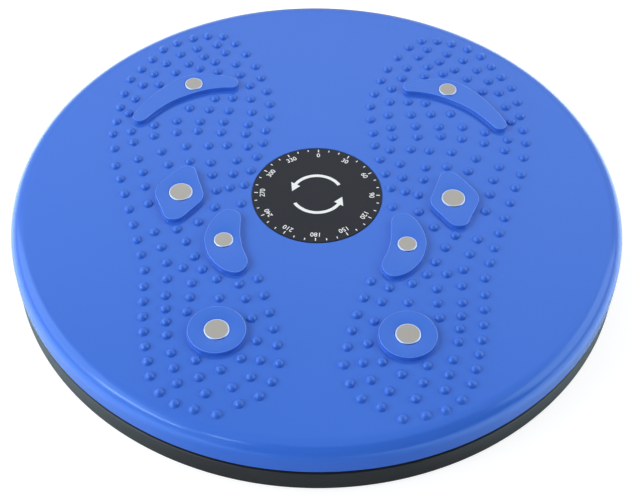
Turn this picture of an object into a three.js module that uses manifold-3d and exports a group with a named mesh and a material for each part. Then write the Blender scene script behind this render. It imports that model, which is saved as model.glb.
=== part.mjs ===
// Waist twisting disc: a blue massage platform that turns on a ball race over a black base.
// Millimetres, +Z up, toes towards +Y. The origin is on the floor under the disc's centre.
// The platform turns about Z on a bolt at the centre; the balls and their cage turn half as far.

import * as THREE from 'three';
import { mergeVertices } from 'three/addons/utils/BufferGeometryUtils.js';
import Module from 'manifold-3d';

const wasm = await Module();
wasm.setup();

// Platform: the blue moulding that is stood on
const discDiameter = 300;
const platformHeight = 14.5;
const shoulderRadius = 8;
const deckWall = 2.6;

// Base: the black moulding on the floor
const baseInset = 0.3;
const baseHeight = 12.5;
const baseWall = 2.6;
const baseDeckWall = 2.5;
const baseEdge = 0.8;
const runningGap = 1;

// Stiffening ribs under both mouldings
const ribCount = 12;
const ribThickness = 2;
const baseRibDepth = 3.6;

// Ball race, balls and cage
const raceDiameter = 190;
const raceWidth = 15;
const raceFloor = 0.6;
const raceOpening = 4.2;
const raceClearance = 0.25;
const ballDiameter = 8;
const ballCount = 12;
const cageThickness = 1.6;
const cageWidth = 16;
const cageClearance = 0.3;

// Centre pivot: bolt, nut, washer and sleeve
const boltDiameter = 6;
const headAcrossFlats = 10;
const headHeight = 4;
const headRecess = 0.4;
const nutHeight = 5;
const threadProud = 0.8;
const threadClearance = 0.15;
const washerDiameter = 18;
const washerThickness = 1.6;
const sleeveWall = 1.7;
const sleeveProud = 0.3;
const pivotClearance = 0.3;
const pivotRise = 2.6;
const pivotGap = 0.8;
const pivotWeb = 2.7;
const baseBossDiameter = 26;
const baseBossInset = 3.1;
const socketDiameter = 24;
const socketWall = 3;

// Rubber feet
const footCount = 6;
const footTurn = 15;
const footInset = 27.7;
const footDiameter = 22;
const footStandOff = 1.2;
const footSeatDepth = 2;
const footLedge = 1.7;
const footEdge = 0.8;
const footClearance = 0.3;
const footBossWall = 2.2;
const footBossInset = 0.5;

// Round label over the pivot
const labelDiameter = 64;
const labelThickness = 0.5;
const labelSeatDepth = 0.4;
const labelClearance = 0.3;

// Massage dots, pads and magnets on the deck
const dotDiameter = 5;
const dotHeight = 2;
const dotSink = 1;
const padHeight = 2.4;
const heelPadDiameter = 26.8;
const midPadLength = 36.5;
const archPadLength = 41;
const toePadLength = 66;
const largeMagnetDiameter = 11.8;
const smallMagnetDiameter = 9.5;
const magnetThickness = 3;
const magnetProud = 0.2;
const magnetEdge = 0.4;
const magnetClearance = 0.2;

// Facets round one turn, and along a curve
const discFacets = 48;
const smallFacets = 14;
const dotFacets = 5;
const cageHoleFacets = 8;
const magnetFacets = 12;
const grooveFacets = 8;
const shoulderSteps = 4;
const insideShoulderSteps = 2;
const padPointSteps = 2;

// Overrun of a cut past the face that it opens, and the weld distance of a mesh's corners
const overrun = 1;
const weld = 1e-4;

// Radii and heights worked out from the sizes above
const discRadius = discDiameter / 2;
const deckRadius = discRadius - shoulderRadius;
const baseRadius = discRadius - baseInset;
const footCircleRadius = baseRadius - footInset;
const baseTop = footStandOff + baseHeight;
const skirtBottom = baseTop + runningGap;
const deckTop = skirtBottom + platformHeight;
const raceRadius = raceDiameter / 2;
const ballRadius = ballDiameter / 2;
const grooveRadius = ballRadius + raceClearance;
const ballHeight = baseTop + raceFloor + grooveRadius;
const lowerRaceTop = ballHeight - raceOpening / 2;
const upperRaceBottom = ballHeight + raceOpening / 2;
const boltRadius = boltDiameter / 2;
const baseBossTop = baseTop + pivotRise;
const baseBossBottom = footStandOff + baseBossInset;
const boltSeat = baseBossBottom + headRecess + headHeight;
const webBottom = baseBossTop + pivotGap;
const webTop = webBottom + pivotWeb;
const sleeveLength = pivotGap + pivotWeb + sleeveProud;
const washerBottom = baseBossTop + sleeveLength;
const nutBottom = washerBottom + washerThickness;
const boltEnd = nutBottom + nutHeight + threadProud;
const footHeight = footStandOff + footBossInset + footSeatDepth;

// Finishes
const finishes = {
  bluePlastic: { color: 0x4678d6, roughness: 0.28, metalness: 0 },
  blackPlastic: { color: 0x34383b, roughness: 0.5, metalness: 0 },
  labelFilm: { color: 0x262626, roughness: 0.45, metalness: 0 },
  magnet: { color: 0xb7b7b4, roughness: 0.35, metalness: 0.9 },
  steel: { color: 0xc4c6c8, roughness: 0.25, metalness: 1 },
  nylon: { color: 0xe6e2d6, roughness: 0.6, metalness: 0 },
  rubber: { color: 0x1d1d1e, roughness: 0.9, metalness: 0 },
};

// Rows of massage dots on the right sole, as shares of the deck's radius from the disc's centre.
// Each row is a smooth curve through its places, and its dots take equal steps from place to place.
const dotRowShares = [
  { row: 'inner edge', steps: 3, places: [[0.255, 0.035], [0.2, 0.245]] },
  {
    row: 'inner edge, on',
    steps: 1,
    places: [[0.195, 0.31], [0.185, 0.38], [0.185, 0.45], [0.2, 0.52], [0.225, 0.595], [0.25, 0.66],
      [0.29, 0.73], [0.335, 0.79]],
  },
  { row: 'toe edge', steps: 1, places: [[0.385, 0.83], [0.445, 0.83], [0.5, 0.815], [0.56, 0.785]] },
  { row: 'toe edge, on', steps: 3, places: [[0.61, 0.745], [0.715, 0.57]] },
  {
    row: 'outer edge',
    steps: 1,
    places: [[0.73, 0.49], [0.735, 0.415], [0.74, 0.34], [0.745, 0.275], [0.73, 0.2], [0.715, 0.115]],
  },
  { row: 'outer edge, on', steps: 3, places: [[0.69, 0.05], [0.62, -0.165], [0.56, -0.365]] },
  { row: 'outer heel edge', steps: 3, places: [[0.555, -0.435], [0.535, -0.62], [0.495, -0.79]] },
  {
    row: 'heel edge',
    steps: 1,
    places: [[0.46, -0.85], [0.41, -0.89], [0.35, -0.91], [0.28, -0.925], [0.215, -0.885],
      [0.155, -0.855], [0.12, -0.8], [0.1, -0.73]],
  },
  { row: 'inner heel edge', steps: 2, places: [[0.11, -0.66], [0.14, -0.53], [0.185, -0.39]] },
  { row: 'second, toes', steps: 1, places: [[0.405, 0.78], [0.48, 0.755], [0.54, 0.72]] },
  { row: 'second, toes, on', steps: 2, places: [[0.59, 0.665], [0.665, 0.54], [0.7, 0.385]] },
  {
    row: 'second, outer',
    steps: 1,
    places: [[0.665, 0.235], [0.64, 0.15], [0.615, 0.085], [0.6, 0.015], [0.58, -0.065]],
  },
  { row: 'second, above the heel', steps: 2, places: [[0.545, -0.195], [0.49, -0.33], [0.48, -0.47]] },
  { row: 'second, outer heel', steps: 2, places: [[0.475, -0.525], [0.46, -0.63]] },
  { row: 'second, outer heel, on', steps: 2, places: [[0.44, -0.7], [0.41, -0.815]] },
  {
    row: 'second, inner heel',
    steps: 1,
    places: [[0.32, -0.85], [0.24, -0.825], [0.185, -0.785], [0.16, -0.72], [0.175, -0.645],
      [0.195, -0.555], [0.22, -0.475], [0.245, -0.415]],
  },
  { row: 'second, big toe', steps: 1, places: [[0.37, 0.735], [0.325, 0.67], [0.305, 0.61]] },
  { row: 'second, ball', steps: 2, places: [[0.265, 0.55], [0.25, 0.405]] },
  { row: 'second, behind the ball', steps: 1, places: [[0.26, 0.34], [0.265, 0.29], [0.255, 0.225]] },
  { row: 'second, arch', steps: 2, places: [[0.29, 0.155], [0.305, 0.02]] },
  { row: 'third, toes', steps: 1, places: [[0.45, 0.71], [0.505, 0.665], [0.55, 0.615], [0.605, 0.545]] },
  { row: 'behind the toe pad', steps: 1, places: [[0.39, 0.625], [0.46, 0.64]] },
  { row: 'ball, first', steps: 1, places: [[0.325, 0.48], [0.39, 0.475]] },
  { row: 'ball, second', steps: 2, places: [[0.335, 0.41], [0.48, 0.42]] },
  { row: 'ball, third', steps: 1, places: [[0.35, 0.35], [0.435, 0.35], [0.52, 0.35], [0.6, 0.325]] },
  { row: 'ball, fourth', steps: 1, places: [[0.355, 0.295], [0.44, 0.3], [0.515, 0.29], [0.595, 0.27]] },
  { row: 'ball, fifth', steps: 1, places: [[0.33, 0.23], [0.395, 0.225], [0.475, 0.22], [0.56, 0.19]] },
  { row: 'ball, sixth', steps: 1, places: [[0.38, 0.14], [0.455, 0.145], [0.53, 0.125]] },
  {
    row: 'round the mid pad',
    steps: 1,
    places: [[0.37, 0.08], [0.35, 0.005], [0.35, -0.075], [0.4, -0.145], [0.47, -0.18]],
  },
  {
    row: 'outside the arch pad',
    steps: 1,
    places: [[0.435, -0.235], [0.4, -0.3], [0.37, -0.355], [0.32, -0.395]],
  },
  {
    row: 'third, outer heel',
    steps: 1,
    places: [[0.435, -0.35], [0.4, -0.415], [0.4, -0.475], [0.405, -0.535]],
  },
  { row: 'under the heel pad', steps: 1, places: [[0.22, -0.715], [0.28, -0.76], [0.36, -0.725]] },
];

// Dots of the right sole that stand alone, as shares of the deck's radius
const loneDotShares = [
  [0.26, -0.055], [0.68, 0.29], [0.405, 0.68], [0.305, -0.475], [0.345, -0.79],
];

// Places of the right sole's magnets, as shares of the deck's radius
const toeMagnetShare = [0.473, 0.537];
const midMagnetShare = [0.47, -0.02];
const archMagnetShare = [0.307, -0.236];
const heelMagnetShare = [0.302, -0.615];

// Outlines of the right sole's pads about their magnets, as shares of each pad's length
const toePadShares = [
  [-0.341, 0.065], [-0.282, 0.095], [-0.168, 0.117], [-0.053, 0.126], [0.044, 0.105], [0.145, 0.044],
  [0.255, -0.064], [0.356, -0.205], [0.432, -0.344], [0.444, -0.405], [0.411, -0.445], [0.359, -0.439],
  [0.302, -0.368], [0.188, -0.239], [0.036, -0.133], [-0.12, -0.062], [-0.259, -0.035], [-0.326, -0.03],
  [-0.356, 0.011],
];
const midPadShares = [
  [-0.148, 0.458], [-0.071, 0.49], [0.008, 0.49], [0.115, 0.397], [0.241, 0.238], [0.326, 0.104],
  [0.348, -0.005], [0.318, -0.123], [0.241, -0.296], [0.178, -0.444], [0.123, -0.493], [0.022, -0.501],
  [-0.058, -0.458], [-0.156, -0.329], [-0.26, -0.197], [-0.307, -0.099], [-0.304, 0], [-0.238, 0.195],
  [-0.184, 0.367],
];
const archPadShares = [
  [-0.172, 0.405], [-0.113, 0.461], [-0.03, 0.483], [0.05, 0.454], [0.138, 0.346], [0.201, 0.19],
  [0.226, 0.034], [0.213, -0.073], [0.172, -0.212], [0.089, -0.344], [-0.013, -0.441], [-0.116, -0.488],
  [-0.199, -0.49], [-0.267, -0.432], [-0.301, -0.334], [-0.284, -0.249], [-0.228, -0.105],
  [-0.191, 0.085], [-0.184, 0.268],
];

// Points on an arc in the plane of a profile, with angles from the profile's outward direction
function arcPoints(centre, radius, fromAngle, toAngle, steps) {
  const points = [];
  for (let step = 0; step <= steps; step += 1) {
    const angle = THREE.MathUtils.lerp(fromAngle, toAngle, step / steps);
    points.push([centre[0] + radius * Math.cos(angle), centre[1] + radius * Math.sin(angle)]);
  }
  return points;
}

// A closed mesh as a solid that can be joined and cut, with its faces turned outwards
function solidFrom(geometry) {
  const bare = geometry.index ? geometry.toNonIndexed() : geometry.clone();
  for (const name of Object.keys(bare.attributes)) {
    if (name !== 'position') bare.deleteAttribute(name);
  }
  const merged = mergeVertices(bare, weld);
  const corners = merged.index.array;
  const triangles = [];
  for (let start = 0; start < corners.length; start += 3) {
    const [a, b, c] = corners.slice(start, start + 3);
    if (a !== b && b !== c && c !== a) triangles.push(a, b, c);
  }
  const places = merged.attributes.position;
  if (signedVolume(places, triangles) < 0) triangles.reverse();
  const vertProperties = new Float32Array(places.array);
  const triVerts = new Uint32Array(triangles);
  return new wasm.Manifold(new wasm.Mesh({ numProp: 3, vertProperties, triVerts }));
}

// Six times the volume that triangles enclose, positive when they face outwards
function signedVolume(places, triangles) {
  let total = 0;
  const [a, b, c] = [new THREE.Vector3(), new THREE.Vector3(), new THREE.Vector3()];
  for (let start = 0; start < triangles.length; start += 3) {
    a.fromBufferAttribute(places, triangles[start]);
    b.fromBufferAttribute(places, triangles[start + 1]);
    c.fromBufferAttribute(places, triangles[start + 2]);
    total += a.dot(b.cross(c));
  }
  return total;
}

// A solid's mesh as a geometry for the scene
function geometryFrom(solid) {
  const mesh = solid.getMesh();
  const geometry = new THREE.BufferGeometry();
  geometry.setAttribute('position', new THREE.BufferAttribute(new Float32Array(mesh.vertProperties), 3));
  geometry.setIndex(new THREE.BufferAttribute(new Uint32Array(mesh.triVerts), 1));
  geometry.computeVertexNormals();
  return geometry;
}

function union(solids) {
  return wasm.Manifold.union(solids);
}

// A profile of [radius, height] points turned about Z; it starts and ends on the axis or closes
function turned(profile, facets) {
  const points = profile.map(([radius, height]) => new THREE.Vector2(radius, height));
  const geometry = new THREE.LatheGeometry(points, facets);
  geometry.rotateX(Math.PI / 2);
  return solidFrom(geometry);
}

function disc(radius, bottom, top, facets) {
  return turned([[0, bottom], [radius, bottom], [radius, top], [0, top]], facets);
}

function ring(innerRadius, outerRadius, bottom, top, facets) {
  const profile = [[innerRadius, bottom], [outerRadius, bottom], [outerRadius, top], [innerRadius, top]];
  return turned([...profile, profile[0]], facets);
}

// The ring that the balls roll in, round in section with flats below and above the balls
function grooveRing() {
  const halfFacet = Math.PI / grooveFacets;
  const sectionRadius = grooveRadius / Math.cos(halfFacet);
  const fullTurn = 2 * Math.PI + halfFacet;
  const section = arcPoints([raceRadius, ballHeight], sectionRadius, halfFacet, fullTurn, grooveFacets);
  section[section.length - 1] = section[0];
  return turned(section, discFacets);
}

function prism(outline, bottom, top) {
  const shape = new THREE.Shape(outline.map(([x, y]) => new THREE.Vector2(x, y)));
  const geometry = new THREE.ExtrudeGeometry(shape, { depth: top - bottom, bevelEnabled: false });
  geometry.translate(0, 0, bottom);
  return solidFrom(geometry);
}

function hexagonalPrism(acrossFlats, bottom, top) {
  const cornerRadius = acrossFlats / (2 * Math.cos(Math.PI / 6));
  return disc(cornerRadius, bottom, top, 6);
}

// A solid's copies, evenly spaced round the axis
function aroundAxis(solid, count) {
  const copies = [];
  for (let index = 0; index < count; index += 1) {
    copies.push(solid.rotate([0, 0, (360 * index) / count]));
  }
  return copies;
}

function radialRibs(innerRadius, outerRadius, bottom, top) {
  const box = new THREE.BoxGeometry(outerRadius - innerRadius, ribThickness, top - bottom);
  box.translate((innerRadius + outerRadius) / 2, 0, (bottom + top) / 2);
  return aroundAxis(solidFrom(box), ribCount);
}

// Half-section of the platform's outer face, from the axis to the skirt's lower edge, or of the
// surface at a depth below that face
function platformCurve(depth, steps) {
  const shoulderCentre = [deckRadius, deckTop - shoulderRadius];
  const shoulder = arcPoints(shoulderCentre, shoulderRadius - depth, Math.PI / 2, 0, steps);
  return [[0, deckTop - depth], ...shoulder, [discRadius - depth, skirtBottom]];
}

// A place on the deck given as shares of its radius
function deckPlace([x, y]) {
  return new THREE.Vector3(x * deckRadius, y * deckRadius, 0);
}

// Places of all the dots on the right sole
function dotPlaces() {
  const places = loneDotShares.map(deckPlace);
  for (const row of dotRowShares) {
    const curve = new THREE.CatmullRomCurve3(row.places.map(deckPlace));
    places.push(...curve.getPoints(row.steps * (row.places.length - 1)));
  }
  return places;
}

// One domed dot, with a root that goes into the deck
function massageDot() {
  const quarter = arcPoints([0, 0], 1, 0, Math.PI / 2, 2);
  const dome = quarter.map(([x, z]) => [(x * dotDiameter) / 2, z * dotHeight]);
  dome[dome.length - 1][0] = 0;
  return turned([[0, -dotSink], [dotDiameter / 2, -dotSink], ...dome], dotFacets);
}

function massageDots() {
  const dot = massageDot();
  const dots = [];
  for (const { x, y } of dotPlaces()) {
    dots.push(dot.translate([x, y, deckTop]));
    dots.push(dot.translate([-x, y, deckTop]));
  }
  return dots;
}

// A closed smooth outline through points given as shares of a length
function smoothOutline(shares, length) {
  const points = shares.map(([x, y]) => new THREE.Vector3(x * length, y * length, 0));
  const curve = new THREE.CatmullRomCurve3(points, true);
  const steps = points.length * padPointSteps;
  const outline = curve.getPoints(steps).map(({ x, y }) => [x, y]);
  return outline.slice(0, steps);
}

function smoothPad(shares, length) {
  return prism(smoothOutline(shares, length), deckTop - deckWall / 2, deckTop + padHeight);
}

function roundPad(diameter) {
  return disc(diameter / 2, deckTop - deckWall / 2, deckTop + padHeight, smallFacets);
}

// The pads of both soles: the magnet's name, place and diameter, and the pad's solid
function massagePads() {
  const kinds = [
    ['toe', toeMagnetShare, smallMagnetDiameter, smoothPad(toePadShares, toePadLength)],
    ['mid', midMagnetShare, largeMagnetDiameter, smoothPad(midPadShares, midPadLength)],
    ['arch', archMagnetShare, smallMagnetDiameter, smoothPad(archPadShares, archPadLength)],
    ['heel', heelMagnetShare, largeMagnetDiameter, roundPad(heelPadDiameter)],
  ];
  const pads = [];
  for (const [name, share, diameter, pad] of kinds) {
    const { x, y } = deckPlace(share);
    const rightPad = pad.translate([x, y, 0]);
    pads.push({ name: `${name}_magnet_right`, x, y, diameter, solid: rightPad });
    pads.push({ name: `${name}_magnet_left`, x: -x, y, diameter, solid: rightPad.mirror([1, 0, 0]) });
  }
  return pads;
}

const pads = massagePads();
const magnetFloor = deckTop + padHeight + magnetProud - magnetThickness;
const labelSeat = deckTop - labelSeatDepth;

// The ring on either moulding that holds half of the ball race
function raceRing(bottom, top) {
  return ring(raceRadius - raceWidth / 2, raceRadius + raceWidth / 2, bottom, top, discFacets);
}

// The blue platform: deck and skirt, ribs, upper race, pivot socket, dots and pads
function platformPlate() {
  const outside = platformCurve(0, shoulderSteps);
  const inside = platformCurve(deckWall, insideShoulderSteps);
  const shell = turned([...outside, ...inside.reverse()], discFacets);
  const envelope = turned([...platformCurve(deckWall / 2, shoulderSteps), [0, skirtBottom]], discFacets);
  const socketRadius = socketDiameter / 2;
  const socket = disc(socketRadius + socketWall, webBottom, deckTop, smallFacets);
  const ribStart = socketRadius + socketWall / 2;
  const ribs = radialRibs(ribStart, discRadius - deckWall / 2, upperRaceBottom, deckTop);
  const webs = union([raceRing(upperRaceBottom, deckTop), socket, ...ribs]).intersect(envelope);
  const body = union([shell, webs, ...pads.map((pad) => pad.solid), ...massageDots()]);
  const sleeveRadius = boltRadius + pivotClearance + sleeveWall;
  const cuts = [
    disc(labelDiameter / 2 + labelClearance, labelSeat, deckTop + padHeight + overrun, discFacets),
    disc(socketRadius, webTop, deckTop + overrun, smallFacets),
    disc(sleeveRadius + pivotClearance, webBottom - overrun, deckTop + overrun, smallFacets),
    grooveRing(),
    ...pads.map(magnetPocket),
  ];
  return body.subtract(union(cuts));
}

function magnetPocket({ x, y, diameter }) {
  const pocketRadius = diameter / 2 + magnetClearance;
  return disc(pocketRadius, magnetFloor, deckTop + padHeight + overrun, magnetFacets).translate([x, y, 0]);
}

// A magnet with its upper edge chamfered, standing on its own lower face
function magnetSolid(diameter) {
  const radius = diameter / 2;
  const side = [[0, 0], [radius, 0], [radius, magnetThickness - magnetEdge]];
  return turned([...side, [radius - magnetEdge, magnetThickness], [0, magnetThickness]], magnetFacets);
}

// Half-section of the base's deck and outer wall
function baseShell() {
  const deckBottom = baseTop - baseDeckWall;
  const wallInside = baseRadius - baseWall;
  return turned([
    [0, deckBottom],
    [wallInside, deckBottom],
    [wallInside, footStandOff],
    [baseRadius - baseEdge, footStandOff],
    [baseRadius, footStandOff + baseEdge],
    [baseRadius, baseTop - baseEdge],
    [baseRadius - baseEdge, baseTop],
    [0, baseTop],
  ], discFacets);
}

// A solid moved from the axis to the first foot, which is half-way between two ribs
function atFirstFoot(solid) {
  return solid.translate([footCircleRadius, 0, 0]).rotate([0, 0, footTurn]);
}

// The black base: deck, outer wall, ribs, lower race, pivot boss and foot seats
function basePlate() {
  const insideDeck = baseTop - baseDeckWall / 2;
  const ribBottom = baseTop - baseDeckWall - baseRibDepth;
  const bossRadius = baseBossDiameter / 2;
  const boss = disc(bossRadius, baseBossBottom, baseBossTop, smallFacets);
  const ribs = radialRibs(bossRadius - ribThickness, baseRadius - baseWall / 2, ribBottom, insideDeck);
  const seatRadius = footDiameter / 2 + footClearance;
  const bossFoot = footStandOff + footBossInset;
  const tube = ring(seatRadius - footLedge, seatRadius + footBossWall, bossFoot, insideDeck, smallFacets);
  const tubes = aroundAxis(atFirstFoot(tube), footCount);
  const body = union([baseShell(), raceRing(insideDeck, lowerRaceTop), boss, ...ribs, ...tubes]);
  const seat = disc(seatRadius, bossFoot - overrun, footHeight, smallFacets);
  const cuts = [
    ...aroundAxis(atFirstFoot(seat), footCount),
    hexagonalPrism(headAcrossFlats + 2 * pivotClearance, baseBossBottom - overrun, boltSeat),
    disc(boltRadius + pivotClearance, baseBossBottom - overrun, baseBossTop + overrun, smallFacets),
    grooveRing(),
  ];
  return body.subtract(union(cuts));
}

// A rubber foot with its lower edge chamfered
function footSolid() {
  const radius = footDiameter / 2;
  const profile = [[0, 0], [radius - footEdge, 0], [radius, footEdge], [radius, footHeight], [0, footHeight]];
  return turned(profile, smallFacets);
}

// The flat ring that spaces the balls, about the balls' own height
function cageRing() {
  const half = cageThickness / 2;
  const plate = ring(raceRadius - cageWidth / 2, raceRadius + cageWidth / 2, -half, half, discFacets);
  const holeRadius = (ballRadius + cageClearance) / Math.cos(Math.PI / cageHoleFacets);
  const hole = disc(holeRadius, -half - overrun, half + overrun, cageHoleFacets);
  return plate.subtract(union(aroundAxis(hole.translate([raceRadius, 0, 0]), ballCount)));
}

// The pivot bolt, with the underside of its head at zero height
function boltSolid() {
  const head = hexagonalPrism(headAcrossFlats, -headHeight, 0);
  return head.add(disc(boltRadius, -headHeight / 2, boltEnd - boltSeat, smallFacets));
}

function nutSolid() {
  const bore = disc(boltRadius + threadClearance, -overrun, nutHeight + overrun, smallFacets);
  return hexagonalPrism(headAcrossFlats, 0, nutHeight).subtract(bore);
}

function namedMesh(name, geometry, finish) {
  const mesh = new THREE.Mesh(geometry, new THREE.MeshStandardMaterial(finish));
  mesh.name = name;
  return mesh;
}

// Places an object round the axis, one of a count that starts at an angle in degrees
function placeAround(object, radius, index, count, startDegrees) {
  const angle = (2 * Math.PI * index) / count + THREE.MathUtils.degToRad(startDegrees);
  object.position.set(radius * Math.cos(angle), radius * Math.sin(angle), 0);
  return object;
}

function numbered(name, index) {
  return `${name}_${String(index + 1).padStart(2, '0')}`;
}

// What stays on the floor: base, feet and the pivot that is clamped to it
function baseGroup() {
  const group = new THREE.Group();
  group.add(namedMesh('base_plate', geometryFrom(basePlate()), finishes.blackPlastic));
  const footGeometry = geometryFrom(footSolid());
  for (let index = 0; index < footCount; index += 1) {
    const foot = namedMesh(numbered('rubber_foot', index), footGeometry, finishes.rubber);
    group.add(placeAround(foot, footCircleRadius, index, footCount, footTurn));
  }
  const boreRadius = boltRadius + pivotClearance;
  const sleeve = ring(boreRadius, boreRadius + sleeveWall, 0, sleeveLength, smallFacets);
  const washer = ring(boreRadius, washerDiameter / 2, 0, washerThickness, smallFacets);
  const stack = [
    ['pivot_bolt', boltSolid(), finishes.steel, boltSeat],
    ['pivot_sleeve', sleeve, finishes.nylon, baseBossTop],
    ['pivot_washer', washer, finishes.steel, washerBottom],
    ['pivot_nut', nutSolid(), finishes.steel, nutBottom],
  ];
  for (const [name, solid, finish, height] of stack) {
    const mesh = namedMesh(name, geometryFrom(solid), finish);
    mesh.position.z = height;
    group.add(mesh);
  }
  return group;
}

// What turns half as far as the platform: the cage and its balls
function bearingGroup() {
  const group = new THREE.Group();
  group.position.z = ballHeight;
  group.add(namedMesh('ball_cage', geometryFrom(cageRing()), finishes.nylon));
  const ballGeometry = geometryFrom(solidFrom(new THREE.IcosahedronGeometry(ballRadius, 1)));
  for (let index = 0; index < ballCount; index += 1) {
    const ball = namedMesh(numbered('race_ball', index), ballGeometry, finishes.steel);
    group.add(placeAround(ball, raceRadius, index, ballCount, 0));
  }
  return group;
}

// What is stood on and turns: the platform, its magnets and its label
function platformGroup() {
  const group = new THREE.Group();
  group.add(namedMesh('platform_plate', geometryFrom(platformPlate()), finishes.bluePlastic));
  for (const { name, x, y, diameter } of pads) {
    const magnet = namedMesh(name, geometryFrom(magnetSolid(diameter)), finishes.magnet);
    magnet.position.set(x, y, magnetFloor);
    group.add(magnet);
  }
  const labelSolid = disc(labelDiameter / 2, 0, labelThickness, discFacets);
  const label = namedMesh('centre_label', geometryFrom(labelSolid), finishes.labelFilm);
  label.position.z = labelSeat;
  group.add(label);
  return group;
}

const twistingDisc = new THREE.Group();
twistingDisc.name = 'waist_twisting_disc';
twistingDisc.add(baseGroup(), bearingGroup(), platformGroup());

export default twistingDisc;
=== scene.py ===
"""A waist twisting disc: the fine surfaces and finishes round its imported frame.

The blue platform turns on a ball race over a near-black base. Each sub-assembly is a class that reads its
main places from the frame, holds its other sizes in metres as fields, builds its meshes and dresses them.
The frame's own axes hold here: +Z up, +Y towards the toes, and the floor at zero.
"""

from __future__ import annotations

import logging
import math
from dataclasses import dataclass
from enum import Enum
from typing import Iterable, Sequence

import bmesh
import bpy
from mathutils import Matrix, Quaternion, Vector

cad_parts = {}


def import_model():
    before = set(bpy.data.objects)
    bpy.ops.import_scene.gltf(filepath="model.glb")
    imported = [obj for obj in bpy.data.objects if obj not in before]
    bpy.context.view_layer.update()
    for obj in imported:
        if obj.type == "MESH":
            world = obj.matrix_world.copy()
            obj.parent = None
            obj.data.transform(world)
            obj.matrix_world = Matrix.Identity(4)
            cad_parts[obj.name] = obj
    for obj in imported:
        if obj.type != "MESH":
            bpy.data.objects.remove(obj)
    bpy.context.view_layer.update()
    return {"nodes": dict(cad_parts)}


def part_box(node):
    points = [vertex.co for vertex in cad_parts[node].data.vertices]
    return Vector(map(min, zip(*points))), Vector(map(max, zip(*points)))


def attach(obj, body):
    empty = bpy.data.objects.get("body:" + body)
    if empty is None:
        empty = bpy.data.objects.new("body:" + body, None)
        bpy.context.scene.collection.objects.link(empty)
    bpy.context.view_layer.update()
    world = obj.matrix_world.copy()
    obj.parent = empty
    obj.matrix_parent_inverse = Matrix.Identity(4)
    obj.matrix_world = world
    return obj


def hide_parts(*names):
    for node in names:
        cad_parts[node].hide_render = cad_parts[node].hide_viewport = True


LOG = logging.getLogger("twisting_disc")

Point = tuple[float, float]
Point3 = tuple[float, float, float]
Loop = Sequence[Point]
Span = tuple[float, float]
Colour = tuple[float, float, float]

TURN = 2 * math.pi
RIM_SEGMENTS = 288  # round the disc
SMALL_SEGMENTS = 64  # round the magnets, the feet and the pivot
SAME_HEIGHT = 2e-5  # heights this close count as one
WELD = 1e-7  # vertices this close become one
STRAIGHT = 1e-3  # a corner that bends less than this angle is straight
HOLD = 0.0003  # from a fillet's end to the point that holds the flat beside it
WHITE: Colour = (1.0, 1.0, 1.0)
COOL: Colour = (0.84, 0.93, 1.0)


class Body(Enum):
    """The bodies of the frame that a piece can ride on."""

    BASE = "base"
    BEARING = "bearing"
    PLATFORM = "platform"


class Slot(Enum):
    """The record's material slots."""

    BLUE = "blue_plastic"
    BLACK = "black_plastic"
    LABEL = "label_film"
    MAGNET = "magnet"
    STEEL = "steel"
    BALL = "ball_steel"
    NYLON = "nylon"
    RUBBER = "rubber"


class Side(Enum):
    """The two soles, with the sign of their side of the disc."""

    RIGHT = 1
    LEFT = -1


@dataclass(frozen=True)
class Corner:
    """A corner of a turned section.

    Args:
        radius: Distance from the axis.
        height: Height above the floor.
        fillet: Radius that rounds the corner, or zero.
    """

    radius: float
    height: float
    fillet: float = 0.0


# Outlines and sections


def arc(centre: Point, radius: float, start: float, end: float, steps: int) -> list[Point]:
    """Gives points along an arc.

    Args:
        centre: The arc's centre.
        radius: The arc's radius.
        start: Angle of the first point.
        end: Angle of the last point.
        steps: Number of steps between them.

    Returns:
        The points, one more than the steps.
    """
    angles = [start + (end - start) * step / steps for step in range(steps + 1)]
    return [(centre[0] + radius * math.cos(a), centre[1] + radius * math.sin(a)) for a in angles]


def circle(centre: Point, radius: float, count: int) -> list[Point]:
    """Gives a closed circle's points, counter-clockwise, with the first one not repeated."""
    return arc(centre, radius, 0.0, TURN, count)[:-1]


def hexagon(across_flats: float) -> list[Point]:
    """Gives the corners of a hexagon about the axis from its width across flats."""
    return circle((0.0, 0.0), across_flats / 2 / math.cos(math.pi / 6), 6)


def rounded(corners: Sequence[Corner], steps: int = 8) -> list[Point]:
    """Turns a closed section's corners into points, with its fillets as arcs.

    A point beside each fillet holds the flat next to it flat when it is shaded.

    Args:
        corners: The corners in order.
        steps: Steps along each fillet.

    Returns:
        Points of radius and height.
    """
    points: list[Point] = []
    for index, corner in enumerate(corners):
        here = Vector((corner.radius, corner.height))
        before, after = corners[index - 1], corners[(index + 1) % len(corners)]
        to_before = Vector((before.radius, before.height)) - here
        to_after = Vector((after.radius, after.height)) - here
        bend = to_before.angle(to_after, math.pi)
        if corner.fillet <= 0.0 or bend > math.pi - STRAIGHT:
            points.append((here.x, here.y))
            continue
        reach = corner.fillet / math.tan(bend / 2)
        room_before = to_before.length - before.fillet > reach + 3 * HOLD
        room_after = to_after.length - after.fillet > reach + 3 * HOLD
        to_before.normalize()
        to_after.normalize()
        middle = here + (to_before + to_after).normalized() * (corner.fillet / math.sin(bend / 2))
        first = here + to_before * reach - middle
        last = here + to_after * reach - middle
        sweep = math.atan2(first.x * last.y - first.y * last.x, first.dot(last))
        start = math.atan2(first.y, first.x)
        if room_before:
            points.append(tuple(here + to_before * (reach + HOLD)))
        points.extend(arc((middle.x, middle.y), corner.fillet, start, start + sweep, steps))
        if room_after:
            points.append(tuple(here + to_after * (reach + HOLD)))
    return points


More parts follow.
